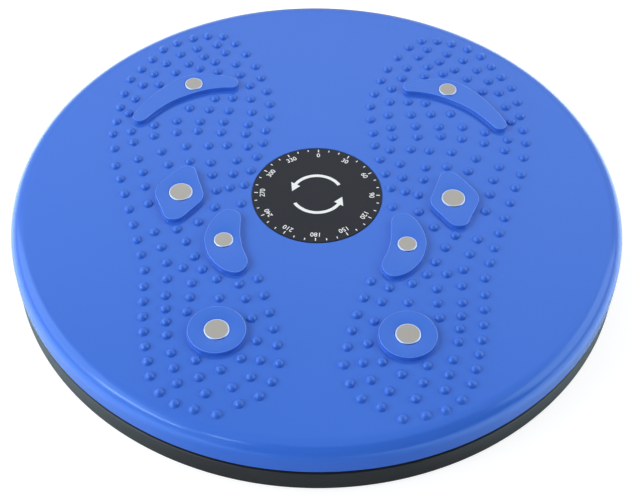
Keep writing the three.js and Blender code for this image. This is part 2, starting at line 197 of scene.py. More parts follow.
def smooth_loop(loop: Loop, steps: int) -> list[Point]:
    """Passes a smooth closed curve through a loop's points.

    Args:
        loop: The points that the curve passes through.
        steps: Steps from one point to the next.

    Returns:
        The curve's points.
    """
    count = len(loop)
    places = [Vector(p) for p in loop]
    curve: list[Point] = []
    for index in range(count):
        a, b = places[index - 1], places[index]
        c, d = places[(index + 1) % count], places[(index + 2) % count]
        for step in range(steps):
            t = step / steps
            slope = (c - a) * t + (2 * a - 5 * b + 4 * c - d) * t**2 + (3 * b - a - 3 * c + d) * t**3
            place = b + slope / 2
            curve.append((place.x, place.y))
    return curve


def offset_loop(loop: Loop, distance: float) -> list[Point]:
    """Moves a counter-clockwise loop's points square to it.

    Args:
        loop: The loop.
        distance: How far they move outwards, or inwards if it is negative.

    Returns:
        The moved points.
    """
    moved: list[Point] = []
    for index, (x, y) in enumerate(loop):
        before, after = loop[index - 1], loop[(index + 1) % len(loop)]
        along = Vector((after[0] - before[0], after[1] - before[1])).normalized()
        moved.append((x + along.y * distance, y - along.x * distance))
    return moved


def counter_clockwise(loop: Loop) -> list[Point]:
    """Gives a loop's points in counter-clockwise order."""
    area = sum(a[0] * b[1] - b[0] * a[1] for a, b in zip(loop, [*loop[1:], loop[0]]))
    return list(loop) if area > 0 else list(reversed(loop))


# Meshes


class MeshMaker:
    """Collects vertices and faces of one piece and makes its object."""

    def __init__(self) -> None:
        """Starts with nothing."""
        self.vertices: list[Point3] = []
        self.faces: list[tuple[int, ...]] = []

    def ring(self, loop: Sequence[Point3]) -> list[int]:
        """Adds a loop of vertices.

        Args:
            loop: Their places.

        Returns:
            Their numbers.
        """
        start = len(self.vertices)
        self.vertices.extend(loop)
        return list(range(start, len(self.vertices)))

    def bridge(self, lower: Sequence[int], upper: Sequence[int]) -> None:
        """Joins two loops by quads, which look out of a counter-clockwise loop.

        Args:
            lower: The lower loop's vertices.
            upper: The upper loop's vertices, as many.
        """
        count = len(lower)
        for index in range(count):
            after = (index + 1) % count
            self.faces.append((lower[index], lower[after], upper[after], upper[index]))

    def cap(self, loop: Sequence[int]) -> None:
        """Closes a loop by one face, which looks along the loop's turn."""
        self.faces.append(tuple(loop))

    def turned(self, section: Loop, segments: int, centre: Point = (0.0, 0.0)) -> None:
        """Turns a closed section round a vertical axis.

        Args:
            section: Points of radius and height, counter-clockwise with the axis at the left.
            segments: Segments round the turn.
            centre: Where the axis stands.
        """
        rings: list[list[int]] = []
        for radius, height in section:
            if radius <= 0.0:
                rings.append(self.ring([(centre[0], centre[1], height)]) * segments)
            else:
                rings.append(self.ring([(x, y, height) for x, y in circle(centre, radius, segments)]))
        for lower, upper in zip(rings, [*rings[1:], rings[0]]):
            for index in range(segments):
                after = (index + 1) % segments
                face = (lower[index], lower[after], upper[after], upper[index])
                corners = tuple(dict.fromkeys(face))
                if len(corners) > 2:
                    self.faces.append(corners)

    def plate(self, outer: Loop, holes: Sequence[Loop], bottom: float, top: float) -> None:
        """Adds a flat plate with holes through it.

        Args:
            outer: The outline, counter-clockwise.
            holes: Outlines of the holes, counter-clockwise.
            bottom: Height of the lower face.
            top: Height of the upper face.
        """
        lower = [self.ring([(x, y, bottom) for x, y in loop]) for loop in (outer, *holes)]
        upper = [self.ring([(x, y, top) for x, y in loop]) for loop in (outer, *holes)]
        self.bridge(lower[0], upper[0])
        for hole_lower, hole_upper in zip(lower[1:], upper[1:]):
            self.bridge(hole_upper, hole_lower)
        self.fill(upper, True)
        self.fill(lower, False)

    def fill(self, loops: Sequence[Sequence[int]], face_up: bool) -> None:
        """Fills a flat area between its outline and its holes.

        Args:
            loops: The outline's vertices, then those of each hole.
            face_up: Whether the faces look up.
        """
        work = bmesh.new()
        numbers: dict[bmesh.types.BMVert, int] = {}
        edges = []
        for loop in loops:
            corners = [work.verts.new(self.vertices[number]) for number in loop]
            numbers.update(zip(corners, loop))
            edges.extend(work.edges.new(pair) for pair in zip(corners, [*corners[1:], corners[0]]))
        bmesh.ops.triangle_fill(work, use_beauty=True, use_dissolve=False, edges=edges)
        for face in work.faces:
            face.normal_update()
            corners = [numbers[corner] for corner in face.verts]
            if (face.normal.z > 0) != face_up:
                corners.reverse()
            self.faces.append(tuple(corners))
        work.free()

    def made(self, name: str, sharp_degrees: float = 40.0) -> bpy.types.Object:
        """Makes the object, smooth but for its sharp edges.

        Args:
            name: The piece's name.
            sharp_degrees: Edges that bend more than this stay sharp.

        Returns:
            The new object, linked to the scene.
        """
        mesh = bpy.data.meshes.new(name)
        mesh.from_pydata(self.vertices, [], self.faces)
        mesh.validate()
        mesh.polygons.foreach_set("use_smooth", [True] * len(mesh.polygons))
        mesh.set_sharp_from_angle(angle=math.radians(sharp_degrees))
        mesh.update()
        made = bpy.data.objects.new(name, mesh)
        bpy.context.scene.collection.objects.link(made)
        return made


def turned_piece(name: str, section: Loop, segments: int, centre: Point = (0.0, 0.0)) -> bpy.types.Object:
    """Makes a piece by turning one closed section.

    Args:
        name: The piece's name.
        section: Points of radius and height, counter-clockwise with the axis at the left.
        segments: Segments round the turn.
        centre: Where the axis stands.

    Returns:
        The new object.
    """
    maker = MeshMaker()
    maker.turned(section, segments, centre)
    return maker.made(name)


def add_rib(maker: MeshMaker, turn: float, outline: Loop, low: float, width: float) -> None:
    """Adds a radial rib with a rounded free edge below.

    Args:
        maker: The mesh that it is added to.
        turn: The rib's angle.
        outline: Points of radius and height round its side, counter-clockwise.
        low: Height of its free edge.
        width: Its width.
    """
    edge = width / 4
    layers = arc((width / 2 - edge, edge), edge, -math.pi / 2, 0.0, steps=4)
    along = Vector((math.cos(turn), math.sin(turn), 0.0))
    across = Vector((-math.sin(turn), math.cos(turn), 0.0))
    rings = []
    for y, lift in [(-y, lift) for y, lift in reversed(layers)] + layers:
        places = []
        for radius, height in outline:
            raised = height + lift if height < low + SAME_HEIGHT else height
            places.append(tuple(along * radius + across * y + Vector((0.0, 0.0, raised))))
        rings.append(maker.ring(places))
    for first, second in zip(rings, rings[1:]):
        maker.bridge(second, first)
    maker.cap(rings[0])
    maker.cap(list(reversed(rings[-1])))


@dataclass(frozen=True)
class DomePart:
    """A part of a dome about the disc that faces inwards, between two angles and two elevations in degrees.

    Args:
        first: Angle of its right edge, from +X towards +Y.
        last: Angle of its left edge.
        bottom: Elevation of its lower edge.
        top: Elevation of its upper edge.
        radius: The dome's radius.
        steps: Steps each way.
    """

    first: float
    last: float
    bottom: float
    top: float
    radius: float
    steps: int

    def made(self, name: str) -> bpy.types.Object:
        """Makes its object.

        Args:
            name: The object's name.

        Returns:
            The new object.
        """
        maker = MeshMaker()
        first, last = math.radians(self.first), math.radians(self.last)
        bottom, top = math.radians(self.bottom), math.radians(self.top)
        rows = []
        for flat, height in arc((0.0, 0.0), self.radius, bottom, top, self.steps):
            row = arc((0.0, 0.0), flat, first, last, self.steps)
            rows.append(maker.ring([(x, y, height) for x, y in row]))
        for lower, upper in zip(rows, rows[1:]):
            for index in range(self.steps):
                maker.faces.append((lower[index + 1], lower[index], upper[index], upper[index + 1]))
        return maker.made(name)


# Finishes


class Shader:
    """A material's node tree, built a node at a time."""

    def __init__(self, name: str) -> None:
        """Starts a material with only its surface shader and output.

        Args:
            name: The material's name.
        """
        self.material = bpy.data.materials.new(name)
        self.material.use_nodes = True
        self.tree = self.material.node_tree
        self.surface = self.tree.nodes["Principled BSDF"]

    def node(self, kind: str, **values: object) -> bpy.types.Node:
        """Adds a node and sets its properties.

        Args:
            kind: The node's type name.
            **values: Properties to set on it.

        Returns:
            The new node.
        """
        made = self.tree.nodes.new(kind)
        for name, value in values.items():
            setattr(made, name, value)
        return made

    def link(self, source: bpy.types.NodeSocket, target: bpy.types.NodeSocket) -> None:
        """Links an output to an input."""
        self.tree.links.new(source, target)

    def place(self) -> bpy.types.NodeSocket:
        """Gives the place on the piece, in its own space."""
        return self.node("ShaderNodeTexCoord").outputs["Object"]

    def distance(self) -> bpy.types.NodeSocket:
        """Measures from the piece's own origin.

        Returns:
            The distance.
        """
        made = self.node("ShaderNodeVectorMath", operation="LENGTH")
        self.link(self.place(), made.inputs[0])
        return made.outputs["Value"]

    def along(self, axis: str) -> bpy.types.NodeSocket:
        """Measures along one of the piece's own axes.

        Args:
            axis: X, Y or Z.

        Returns:
            The place along it.
        """
        made = self.node("ShaderNodeSeparateXYZ")
        self.link(self.place(), made.inputs[0])
        return made.outputs[axis]

    def maths(self, operation: str, *values: bpy.types.NodeSocket) -> bpy.types.NodeSocket:
        """Works a sum on one or two values.

        Args:
            operation: The sum's name in Blender.
            *values: The values.

        Returns:
            The result.
        """
        made = self.node("ShaderNodeMath", operation=operation)
        for number, value in enumerate(values):
            self.link(value, made.inputs[number])
        return made.outputs[0]

    def noise(self, scale: float, detail: float = 3.0, roughness: float = 0.55) -> bpy.types.NodeSocket:
        """Adds a noise over the piece's own space.

        Args:
            scale: Turns a metre.
            detail: How many finer layers it has.
            roughness: How much each finer layer weighs.

        Returns:
            Its value.
        """
        made = self.node("ShaderNodeTexNoise")
        made.inputs["Scale"].default_value = scale
        made.inputs["Detail"].default_value = detail
        made.inputs["Roughness"].default_value = roughness
        self.link(self.place(), made.inputs["Vector"])
        return made.outputs["Fac"]

    def spread(
        self, value: bpy.types.NodeSocket, source: Span, target: Span, how: str = "SMOOTHSTEP"
    ) -> bpy.types.NodeSocket:
        """Spreads a range of a value over another range, and holds it at that range's ends.

        Args:
            value: The value.
            source: The range that is read.
            target: The range that it gives.
            how: How it goes from one end to the other.

        Returns:
            The spread value.
        """
        made = self.node("ShaderNodeMapRange", interpolation_type=how)
        made.inputs["From Min"].default_value, made.inputs["From Max"].default_value = source
        made.inputs["To Min"].default_value, made.inputs["To Max"].default_value = target
        self.link(value, made.inputs["Value"])
        return made.outputs["Result"]

    def between(self, share: bpy.types.NodeSocket, first: Colour, second: Colour) -> bpy.types.NodeSocket:
        """Mixes two colours.

        Args:
            share: How much of the second colour, from zero to one.
            first: The first linear colour.
            second: The second linear colour.

        Returns:
            The mixed colour.
        """
        made = self.node("ShaderNodeMix", data_type="RGBA")
        colours = [socket for socket in made.inputs if socket.type == "RGBA"]
        colours[0].default_value = (*first, 1.0)
        colours[1].default_value = (*second, 1.0)
        self.link(share, made.inputs[0])
        return next(socket for socket in made.outputs if socket.type == "RGBA")

    def bump(self, height: bpy.types.NodeSocket, depth: float, strength: float) -> None:
        """Adds a bump to the surface.

        Args:
            height: Its height, from zero to one.
            depth: The depth that a height of one stands for.
            strength: How much of it shows.
        """
        made = self.node("ShaderNodeBump")
        made.inputs["Distance"].default_value = depth
        made.inputs["Strength"].default_value = strength
        self.link(height, made.inputs["Height"])
        self.link(made.outputs["Normal"], self.surface.inputs["Normal"])

    def set(self, **values: float | tuple[float, ...]) -> None:
        """Sets sockets of the surface shader by name, with a space for each underscore."""
        for name, value in values.items():
            self.surface.inputs[name.replace("_", " ")].default_value = value


@dataclass(frozen=True)
class Finish:
    """A moulded, cast or plated finish with its own grain.

    Args:
        name: The material's name.
        slot: The record's slot that it belongs to; not used.
        colour: Linear colour of the surface.
        mottle: Linear colour that it drifts towards.
        roughness: Least and greatest roughness.
        metallic: One for metal, zero for the rest.
        ior: Index of refraction.
        tint: Linear colour of its mirroring, seen straight on.
        grain_scale: Turns a metre of the surface's grain.
        grain_depth: Depth of the grain.
        grain_strength: How much of the grain shows.
        drift_scale: Turns a metre of the colour's drift.
        drift_detail: Finer layers of the drift.
        rub_scale: Turns a metre of the roughness's drift.
        rub_detail: Finer layers of it.
        rub_weight: How much each of these finer layers weighs.
        noise_middle: The range in which most of a noise lies.
    """

    name: str
    slot: Slot
    colour: Colour
    mottle: Colour
    roughness: Span
    metallic: float = 0.0
    ior: float = 1.46
    tint: Colour = WHITE
    grain_scale: float = 1500.0
    grain_depth: float = 0.00002
    grain_strength: float = 0.3
    drift_scale: float = 14.0
    drift_detail: float = 2.0
    rub_scale: float = 55.0
    rub_detail: float = 5.0
    rub_weight: float = 0.6
    noise_middle: Span = (0.3, 0.7)

    def material(self) -> bpy.types.Material:
        """Makes the material.

        Returns:
            The material, with its drift of colour and roughness and its grain.
        """
        shader = Shader(self.name)
        mottling = shader.noise(self.drift_scale, self.drift_detail)
        drift = shader.spread(mottling, self.noise_middle, (0.0, 1.0), "LINEAR")
        shader.link(shader.between(drift, self.colour, self.mottle), shader.surface.inputs["Base Color"])
        rubbing = shader.noise(self.rub_scale, self.rub_detail, self.rub_weight)
        rub = shader.spread(rubbing, self.noise_middle, self.roughness, "LINEAR")
        shader.link(rub, shader.surface.inputs["Roughness"])
        shader.set(Metallic=self.metallic, IOR=self.ior, Specular_Tint=(*self.tint, 1.0))
        shader.bump(shader.noise(self.grain_scale), self.grain_depth, self.grain_strength)
        return shader.material


BLUE = Finish(
    "blue_moulding", Slot.BLUE, (0.038, 0.141, 0.62), (0.04, 0.145, 0.63), (0.16, 0.2),
    ior=1.5, tint=(0.48, 0.71, 1.0), grain_scale=900.0, grain_depth=0.000004, grain_strength=0.2,
)
# The pads' edge beads: a lighter blue that paints the highlight along the pads' upper edges.
BLUE_EDGE_HIGHLIGHT = Finish(
    "blue_edge_painted_highlight", Slot.BLUE, (0.1, 0.25, 0.79), (0.09, 0.23, 0.75), (0.26, 0.36), ior=1.5,
    grain_scale=900.0, grain_depth=0.000004, grain_strength=0.2,
)
BLACK = Finish(
    "black_moulding", Slot.BLACK, (0.022, 0.025, 0.027), (0.025, 0.028, 0.03), (0.38, 0.46),
    ior=1.5, grain_scale=2200.0, grain_depth=0.00003, grain_strength=0.35,
)
FILM = Finish(
    "label_black", Slot.LABEL, (0.013, 0.014, 0.017), (0.015, 0.016, 0.019), (0.34, 0.42),
    ior=1.3, tint=(0.72, 0.8, 1.0), grain_scale=1200.0, grain_depth=0.00001, grain_strength=0.2,
)
PRINT = Finish(
    "label_print", Slot.LABEL, (0.83, 0.83, 0.81), (0.8, 0.8, 0.78), (0.45, 0.55), grain_strength=0.1,
)
MAGNET = Finish(
    "magnet_plating", Slot.MAGNET, (0.345, 0.335, 0.315), (0.325, 0.315, 0.295), (0.34, 0.44), metallic=1.0,
    grain_scale=2600.0, grain_depth=0.00002, grain_strength=0.25,
)
# The magnets' rims: a pale bluish metal that paints the highlight on their rounded edges.
MAGNET_RIM_HIGHLIGHT = Finish(
    "magnet_rim_painted_highlight", Slot.MAGNET, (0.43, 0.54, 0.78), (0.4, 0.51, 0.75), (0.25, 0.33), metallic=1.0,
    grain_strength=0.1,
)
STEEL = Finish(
    "zinc_steel", Slot.STEEL, (0.6, 0.61, 0.62), (0.55, 0.56, 0.55), (0.25, 0.38), metallic=1.0,
)
BALL = Finish(
    "ball_steel", Slot.BALL, (0.66, 0.66, 0.67), (0.64, 0.64, 0.65), (0.08, 0.14), metallic=1.0,
    grain_strength=0.05,
)
NYLON = Finish(
    "natural_nylon", Slot.NYLON, (0.76, 0.73, 0.65), (0.73, 0.7, 0.61), (0.45, 0.55),
)
RUBBER = Finish(
    "foot_rubber", Slot.RUBBER, (0.012, 0.012, 0.013), (0.018, 0.018, 0.018), (0.75, 0.88),
    grain_scale=3500.0, grain_depth=0.00005, grain_strength=0.6,
)


class Workshop:
    """Dresses finished pieces and sets them on the frame's bodies."""

    def __init__(self) -> None:
        """Starts with no material made."""
        self.materials: dict[str, bpy.types.Material] = {}

    def dress(self, piece: bpy.types.Object, finish: Finish, body: Body, nodes: Iterable[str] = ()) -> None:
        """Gives a piece its finish, its body and the nodes that it stands for.

        Args:
            piece: The piece, in place.
            finish: Its finish.
            body: The body that it rides on.
            nodes: The frame's nodes that it replaces.
        """
        if finish.name not in self.materials:
            self.materials[finish.name] = finish.material()
        piece.data.materials.clear()
        piece.data.materials.append(self.materials[finish.name])
        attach(piece, body.value)
        replaced = list(nodes)
        if replaced:
            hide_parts(*replaced)
        LOG.info("%s rides on %s", piece.name, body.value)


# Places that the frame gives


@dataclass(frozen=True)
class Datum:
    """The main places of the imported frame, in metres.

    Args:
        disc_radius: Radius of the platform.
        skirt_bottom: Height of the platform's lower edge.
        deck_top: Height of the flat deck.
        pad_top: Height of the pads.
        base_radius: Radius of the base.
        base_top: Height of the base's deck.
        boss_top: Height of the base's pivot boss, where the sleeve stands.
        race_radius: Radius of the circle that the balls' centres lie on.
        ball_radius: Radius of a ball.
        ball_height: Height of the balls' centres.
    """

    disc_radius: float
    skirt_bottom: float
    deck_top: float
    pad_top: float
    base_radius: float
    base_top: float
    boss_top: float
    race_radius: float
    ball_radius: float
    ball_height: float

    @classmethod
    def read(cls, label_seat_depth: float, race_floor: float, race_clearance: float) -> Datum:
        """Reads the frame.

        Args:
            label_seat_depth: Depth of the label's seat below the deck.
            race_floor: Height of the lower race's floor above the base's deck.
            race_clearance: Gap between a ball and the race.

        Returns:
            The places.
        """
        plate_low, plate_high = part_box("platform_plate")
        _, base_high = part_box("base_plate")
        ball_low, ball_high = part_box("race_ball_01")
        label_low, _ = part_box("centre_label")
        ball_radius = (ball_high.x - ball_low.x) / 2
        ball_height = (ball_high.z + ball_low.z) / 2
        return cls(
            disc_radius=plate_high.x,
            skirt_bottom=plate_low.z,
            deck_top=label_low.z + label_seat_depth,
            pad_top=plate_high.z,
            base_radius=base_high.x,
            base_top=ball_height - ball_radius - race_clearance - race_floor,
            boss_top=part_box("pivot_sleeve")[0].z,
            race_radius=(ball_high.x + ball_low.x) / 2,
            ball_radius=ball_radius,
            ball_height=ball_height,
        )


class Sole:
    """The dots and pads that the frame's platform carries, read from its mesh."""

    pocket_corners: int = 16  # a magnet's pocket has this many corners at the most

    def __init__(self, plate: bpy.types.Object, datum: Datum, dot_height: float) -> None:
        """Reads the tips of the dots and the outlines of the pads.

        Args:
            plate: The frame's platform node.
            datum: The frame's main places.
            dot_height: Height of a dot above the deck.
        """
        self.plate = plate
        self.dots = self._tips(datum.deck_top + dot_height)
        self.loops = self._loops(datum.pad_top)

    @staticmethod
    def _key(place: Vector) -> tuple[int, int]:
        """Gives a place as whole hundredths of a millimetre."""
        return round(place.x * 1e5), round(place.y * 1e5)

    def _tips(self, height: float) -> list[Point]:
        """Finds all vertices at a height.

        Args:
            height: The height.

        Returns:
            Their places, each once and in order.
        """
        found: dict[tuple[int, int], Point] = {}
        for vertex in self.plate.data.vertices:
            if abs(vertex.co.z - height) < SAME_HEIGHT:
                found[self._key(vertex.co)] = (vertex.co.x, vertex.co.y)
        return [found[key] for key in sorted(found)]

    def _loops(self, height: float) -> list[list[Point]]:
        """Finds the closed outlines of the flat faces at a height.

        Args:
            height: The height.

        Returns:
            The points of each outline.
        """
        mesh = self.plate.data
        places: dict[tuple[int, int], Point] = {}
        after: dict[tuple[int, int], tuple[int, int]] = {}
        edges: set[tuple[tuple[int, int], tuple[int, int]]] = set()
        for polygon in mesh.polygons:
            corners = [mesh.vertices[number].co for number in polygon.vertices]
            if any(abs(corner.z - height) > SAME_HEIGHT for corner in corners):
                continue
            keys = [self._key(corner) for corner in corners]
            places.update((key, (corner.x, corner.y)) for key, corner in zip(keys, corners))
            edges.update(zip(keys, [*keys[1:], keys[0]]))
        for first, second in edges:
            if (second, first) not in edges:
                after[first] = second
        loops = []
        while after:
            first, here = after.popitem()
            loop = [places[first]]
            while here != first:
                loop.append(places[here])
                here = after.pop(here)
            loops.append(loop)
        return loops

    def outline_about(self, centre: Vector, least_radius: float) -> list[Point]:
        """Gives the outline of the pad that holds a magnet.

        Args:
            centre: The magnet's centre.
            least_radius: Radius that tells a pad's outline from the magnet's pocket.

        Returns:
            The outline, counter-clockwise.
        """
        outlines = {}
        for loop in self.loops:
            gap = min(math.hypot(x - centre.x, y - centre.y) for x, y in loop)
            if gap > least_radius or len(loop) > self.pocket_corners:
                outlines[gap] = loop
        return counter_clockwise(outlines[min(outlines)])


# Sub-assemblies


@dataclass
class Race:
    """The grooves that the balls roll in, and the rings that hold them.

    Args:
        width: Width of each ring.
        floor: Height of the lower groove's floor above the base's deck.
        opening: Gap between the two rings.
        clearance: Gap between a ball and a groove.
        edge: Rounding of the rings' edges.
        steps: Steps across a groove.
    """

    width: float = 0.015
    floor: float = 0.0006
    opening: float = 0.0042
    clearance: float = 0.00025
    edge: float = 0.0004
    steps: int = 10

    def groove(self, datum: Datum, upper: bool) -> list[Corner]:
        """Gives the corners of a groove, from its outer lip to its inner lip.

        Args:
            datum: The frame's main places.
            upper: Whether it is the platform's groove.

        Returns:
            Corners across the groove.
        """
        radius = datum.ball_radius + self.clearance
        reach = math.asin(self.opening / 2 / radius)
        centre = (datum.race_radius, datum.ball_height)
        start, end = (reach, math.pi - reach) if upper else (-reach, reach - math.pi)
        return [Corner(r, z) for r, z in arc(centre, radius, start, end, self.steps)]


@dataclass
class Platform:
    """The blue moulding that is stood on, with its dots and pads.

    Args:
        datum: The frame's main places.
        race: The sizes of the ball race.
        shoulder_radius: Radius of the rolled shoulder.
        wall: Thickness of the deck and the skirt.
        inner_fillet: Rounding of the corners under the deck.
        skirt_edge: Rounding of the skirt's outer lower edge.
        skirt_inner_edge: Rounding of its inner lower edge.
        label_recess_radius: Radius of the recess that holds the label.
        label_seat_depth: Depth of the label's seat below the deck.
        label_recess_edge: Rounding of the recess's upper edge.
        socket_radius: Inner radius of the pivot's socket.
        socket_wall: Thickness of its wall.
        socket_edge: Rounding of its edges.
        web_gap: Gap between its web and the base's boss.
        web: Thickness of its web.
        bore_radius: Radius of the hole that the sleeve stands in.
        bore_edge: Rounding of that hole's edges.
        rib_count: Ribs under the deck.
        rib_width: Width of a rib.
        dot_radius: Radius of a dot at the deck.
        dot_height: Height of a dot.
        dot_fillet: Rounding between a dot and the deck.
        dot_segments: Segments round a dot.
        pad_fillet: Rounding between a pad and the deck.
        pad_edge: Rounding of a pad's upper edge.
        pocket_edge: Rounding of a magnet pocket's edge.
        pad_bead: Radius of the bead along a pad's upper edge, whose lighter blue is a painted highlight.
        pad_draft: How far a pad's wall leans in.
        pocket_gap: Gap between a magnet and its pocket.
        sink: How far dots and pads reach into the deck.
        heel_pad_radius: Radius of the round pads at the heels.
    """

    datum: Datum
    race: Race
    shoulder_radius: float = 0.008
    wall: float = 0.0026
    inner_fillet: float = 0.001
    skirt_edge: float = 0.0005
    skirt_inner_edge: float = 0.0004
    label_recess_radius: float = 0.0323
    label_seat_depth: float = 0.0004
    label_recess_edge: float = 0.0002
    socket_radius: float = 0.012
    socket_wall: float = 0.003
    socket_edge: float = 0.0005
    web_gap: float = 0.0008
    web: float = 0.0027
    bore_radius: float = 0.0053
    bore_edge: float = 0.0003
    rib_count: int = 12
    rib_width: float = 0.002
    dot_radius: float = 0.0025
    dot_height: float = 0.002
    dot_fillet: float = 0.0002
    dot_segments: int = 24
    pad_fillet: float = 0.0003
    pad_edge: float = 0.0003
    pocket_edge: float = 0.0003
    pad_bead: float = 0.00017
    pad_draft: float = 0.00015
    pocket_gap: float = 0.0001
    sink: float = 0.00003
    heel_pad_radius: float = 0.0134

    def section(self) -> list[Point]:
        """Gives the moulding's section.

        Returns:
            Points of radius and height.
        """
        d = self.datum
        deck_bottom = d.deck_top - self.wall
        seat = d.deck_top - self.label_seat_depth
        web_bottom = d.boss_top + self.web_gap
        race_in = d.race_radius - self.race.width / 2
        race_out = d.race_radius + self.race.width / 2
        race_bottom = d.ball_height + self.race.opening / 2
        socket_out = self.socket_radius + self.socket_wall
        corners = [
            Corner(self.bore_radius, web_bottom, self.bore_edge),
            Corner(socket_out, web_bottom, self.socket_edge),
            Corner(socket_out, deck_bottom, self.inner_fillet),
            Corner(race_in, deck_bottom, self.inner_fillet),
            Corner(race_in, race_bottom, self.race.edge),
            *reversed(self.race.groove(d, True)),
            Corner(race_out, race_bottom, self.race.edge),
            Corner(race_out, deck_bottom, self.inner_fillet),
            Corner(d.disc_radius - self.wall, deck_bottom, self.shoulder_radius - self.wall),
            Corner(d.disc_radius - self.wall, d.skirt_bottom, self.skirt_inner_edge),
            Corner(d.disc_radius, d.skirt_bottom, self.skirt_edge),
            Corner(d.disc_radius, d.deck_top, self.shoulder_radius),
            Corner(self.label_recess_radius, d.deck_top, self.label_recess_edge),
            Corner(self.label_recess_radius, seat),
            Corner(self.socket_radius, seat),
            Corner(self.socket_radius, web_bottom + self.web, self.socket_edge),
            Corner(self.bore_radius, web_bottom + self.web, self.bore_edge),
        ]
        return rounded(corners, steps=16)

    def moulding(self) -> bpy.types.Object:
        """Makes the deck, shoulder and skirt."""
        return turned_piece("platform_moulding", self.section(), RIM_SEGMENTS)

    def ribs(self) -> bpy.types.Object:
        """Makes the ribs under the deck.

        Returns:
            The new object.
        """
        d = self.datum
        maker = MeshMaker()
        bottom = d.ball_height + self.race.opening / 2
        top = d.deck_top - self.wall / 2
        inner = self.socket_radius + self.socket_wall / 2
        race_in = d.race_radius - self.race.width / 2 + self.race.edge
        race_out = d.race_radius + self.race.width / 2 - self.race.edge
        centre = (d.disc_radius - self.shoulder_radius, d.deck_top - self.shoulder_radius)
        shoulder = arc(centre, self.shoulder_radius - self.wall / 2, 0.0, math.pi / 2, steps=8)
        within = [(inner, bottom), (race_in, bottom), (race_in, top), (inner, top)]
        beyond = [(race_out, bottom), (shoulder[0][0], bottom), *shoulder, (race_out, top)]
        for index in range(self.rib_count):
            turn = TURN * index / self.rib_count
            add_rib(maker, turn, within, bottom, self.rib_width)
            add_rib(maker, turn, beyond, bottom, self.rib_width)
        return maker.made("platform_ribs", sharp_degrees=30.0)

    def dot_section(self) -> list[Point]:
        """Gives a dot's outer section, from its foot's edge to its tip.

        Returns:
            Points of radius and height above the deck.
        """
        ball = (self.dot_radius**2 + self.dot_height**2) / (2 * self.dot_height)
        centre = self.dot_height - ball
        foot = self.dot_fillet
        reach = math.sqrt((ball + foot) ** 2 - (foot - centre) ** 2)
        lean = math.atan2(foot - centre, reach)
        flare = arc((reach, foot), foot, -math.pi / 2, lean - math.pi, steps=5)
        dome = arc((0.0, centre), ball, lean, math.pi / 2, steps=8)
        return [(flare[0][0], -self.sink), *flare, *dome[1:-1], (0.0, self.dot_height)]

    def dots(self, sole: Sole) -> bpy.types.Object:
        """Makes every massage dot, as one piece.

        Args:
            sole: The dots' places.

        Returns:
            The new object.
        """
        maker = MeshMaker()
        section = self.dot_section()
        for centre in sole.dots:
            drop = self.shoulder_drop(math.hypot(*centre))
            ground = self.datum.deck_top - drop
            rings = []
            for radius, height in section[:-1]:
                loop = circle(centre, radius, self.dot_segments)
                rings.append(maker.ring([(x, y, ground + height) for x, y in loop]))
            tip = maker.ring([(*centre, ground + section[-1][1])])[0]
            for lower, upper in zip(rings, rings[1:]):
                maker.bridge(lower, upper)
            last = rings[-1]
            for index, corner in enumerate(last):
                maker.faces.append((corner, last[(index + 1) % len(last)], tip))
            maker.cap(list(reversed(rings[0])))
        return maker.made("massage_dots", sharp_degrees=60.0)

    def shoulder_drop(self, distance: float) -> float:
        """Gives how far the moulding's face has dropped below the deck.

        Args:
            distance: Distance from the axis.

        Returns:
            The drop, which is zero on the flat deck.
        """
        past = distance - (self.datum.disc_radius - self.shoulder_radius)
        if past <= 0.0:
            return 0.0
        return self.shoulder_radius - math.sqrt(self.shoulder_radius**2 - past**2)

    def pad(self, name: str, outline: Loop, centre: Point, magnet_radius: float) -> bpy.types.Object:
        """Makes one raised pad with its magnet's pocket.

        Args:
            name: The piece's name.
            outline: The pad's outline.
            centre: The magnet's centre.
            magnet_radius: The magnet's radius.

        Returns:
            The new object.
        """
        deck, top = self.datum.deck_top, self.datum.pad_top
        maker = MeshMaker()
        fillet = self.pad_fillet
        levels = [(fillet, deck - self.sink)]
        for out, up in arc((fillet, fillet), fillet, -math.pi / 2, -math.pi, steps=5):
            levels.append((out, deck + up))
        edge = self.pad_edge
        for out, up in arc((-edge - self.pad_draft, -edge), edge, 0.0, math.pi / 2, steps=6):
            levels.append((out, top + up))
        levels.append((-edge - self.pad_draft - HOLD, top))
        rings = []
        for out, height in levels:
            rings.append(maker.ring([(x, y, height) for x, y in offset_loop(outline, out)]))
        for lower, upper in zip(rings, rings[1:]):
            maker.bridge(lower, upper)
        pocket = circle(centre, magnet_radius + self.pocket_gap, SMALL_SEGMENTS)
        mouths = []
        lip = self.pocket_edge
        for out, up in arc((lip, -lip), lip, math.pi / 2, math.pi, steps=4):
            mouths.append(maker.ring([(x, y, top + up) for x, y in offset_loop(pocket, out)]))
        floor = maker.ring([(x, y, deck - self.sink) for x, y in pocket])
        maker.fill([rings[-1], mouths[0]], True)
        for upper, lower in zip(mouths, [*mouths[1:], floor]):
            maker.bridge(upper, lower)
        maker.fill([rings[0], floor], False)
        return maker.made(name, sharp_degrees=50.0)

    def bead(self, name: str, outline: Loop) -> bpy.types.Object:
        """Makes the bead along the upper edge of one pad, whose lighter blue is the edge's painted highlight.

        Args:
            name: The piece's name.
            outline: The pad's outline.

        Returns:
            The new object.
        """
        maker = MeshMaker()
        centre = (-self.pad_draft - self.pad_edge / 2, self.datum.pad_top - self.pad_bead / 3)
        rings = []
        for out, height in circle(centre, self.pad_bead, count=12):
            rings.append(maker.ring([(x, y, height) for x, y in offset_loop(outline, out)]))
        for lower, upper in zip(rings, [*rings[1:], rings[0]]):
            maker.bridge(lower, upper)
        return maker.made(name, sharp_degrees=60.0)

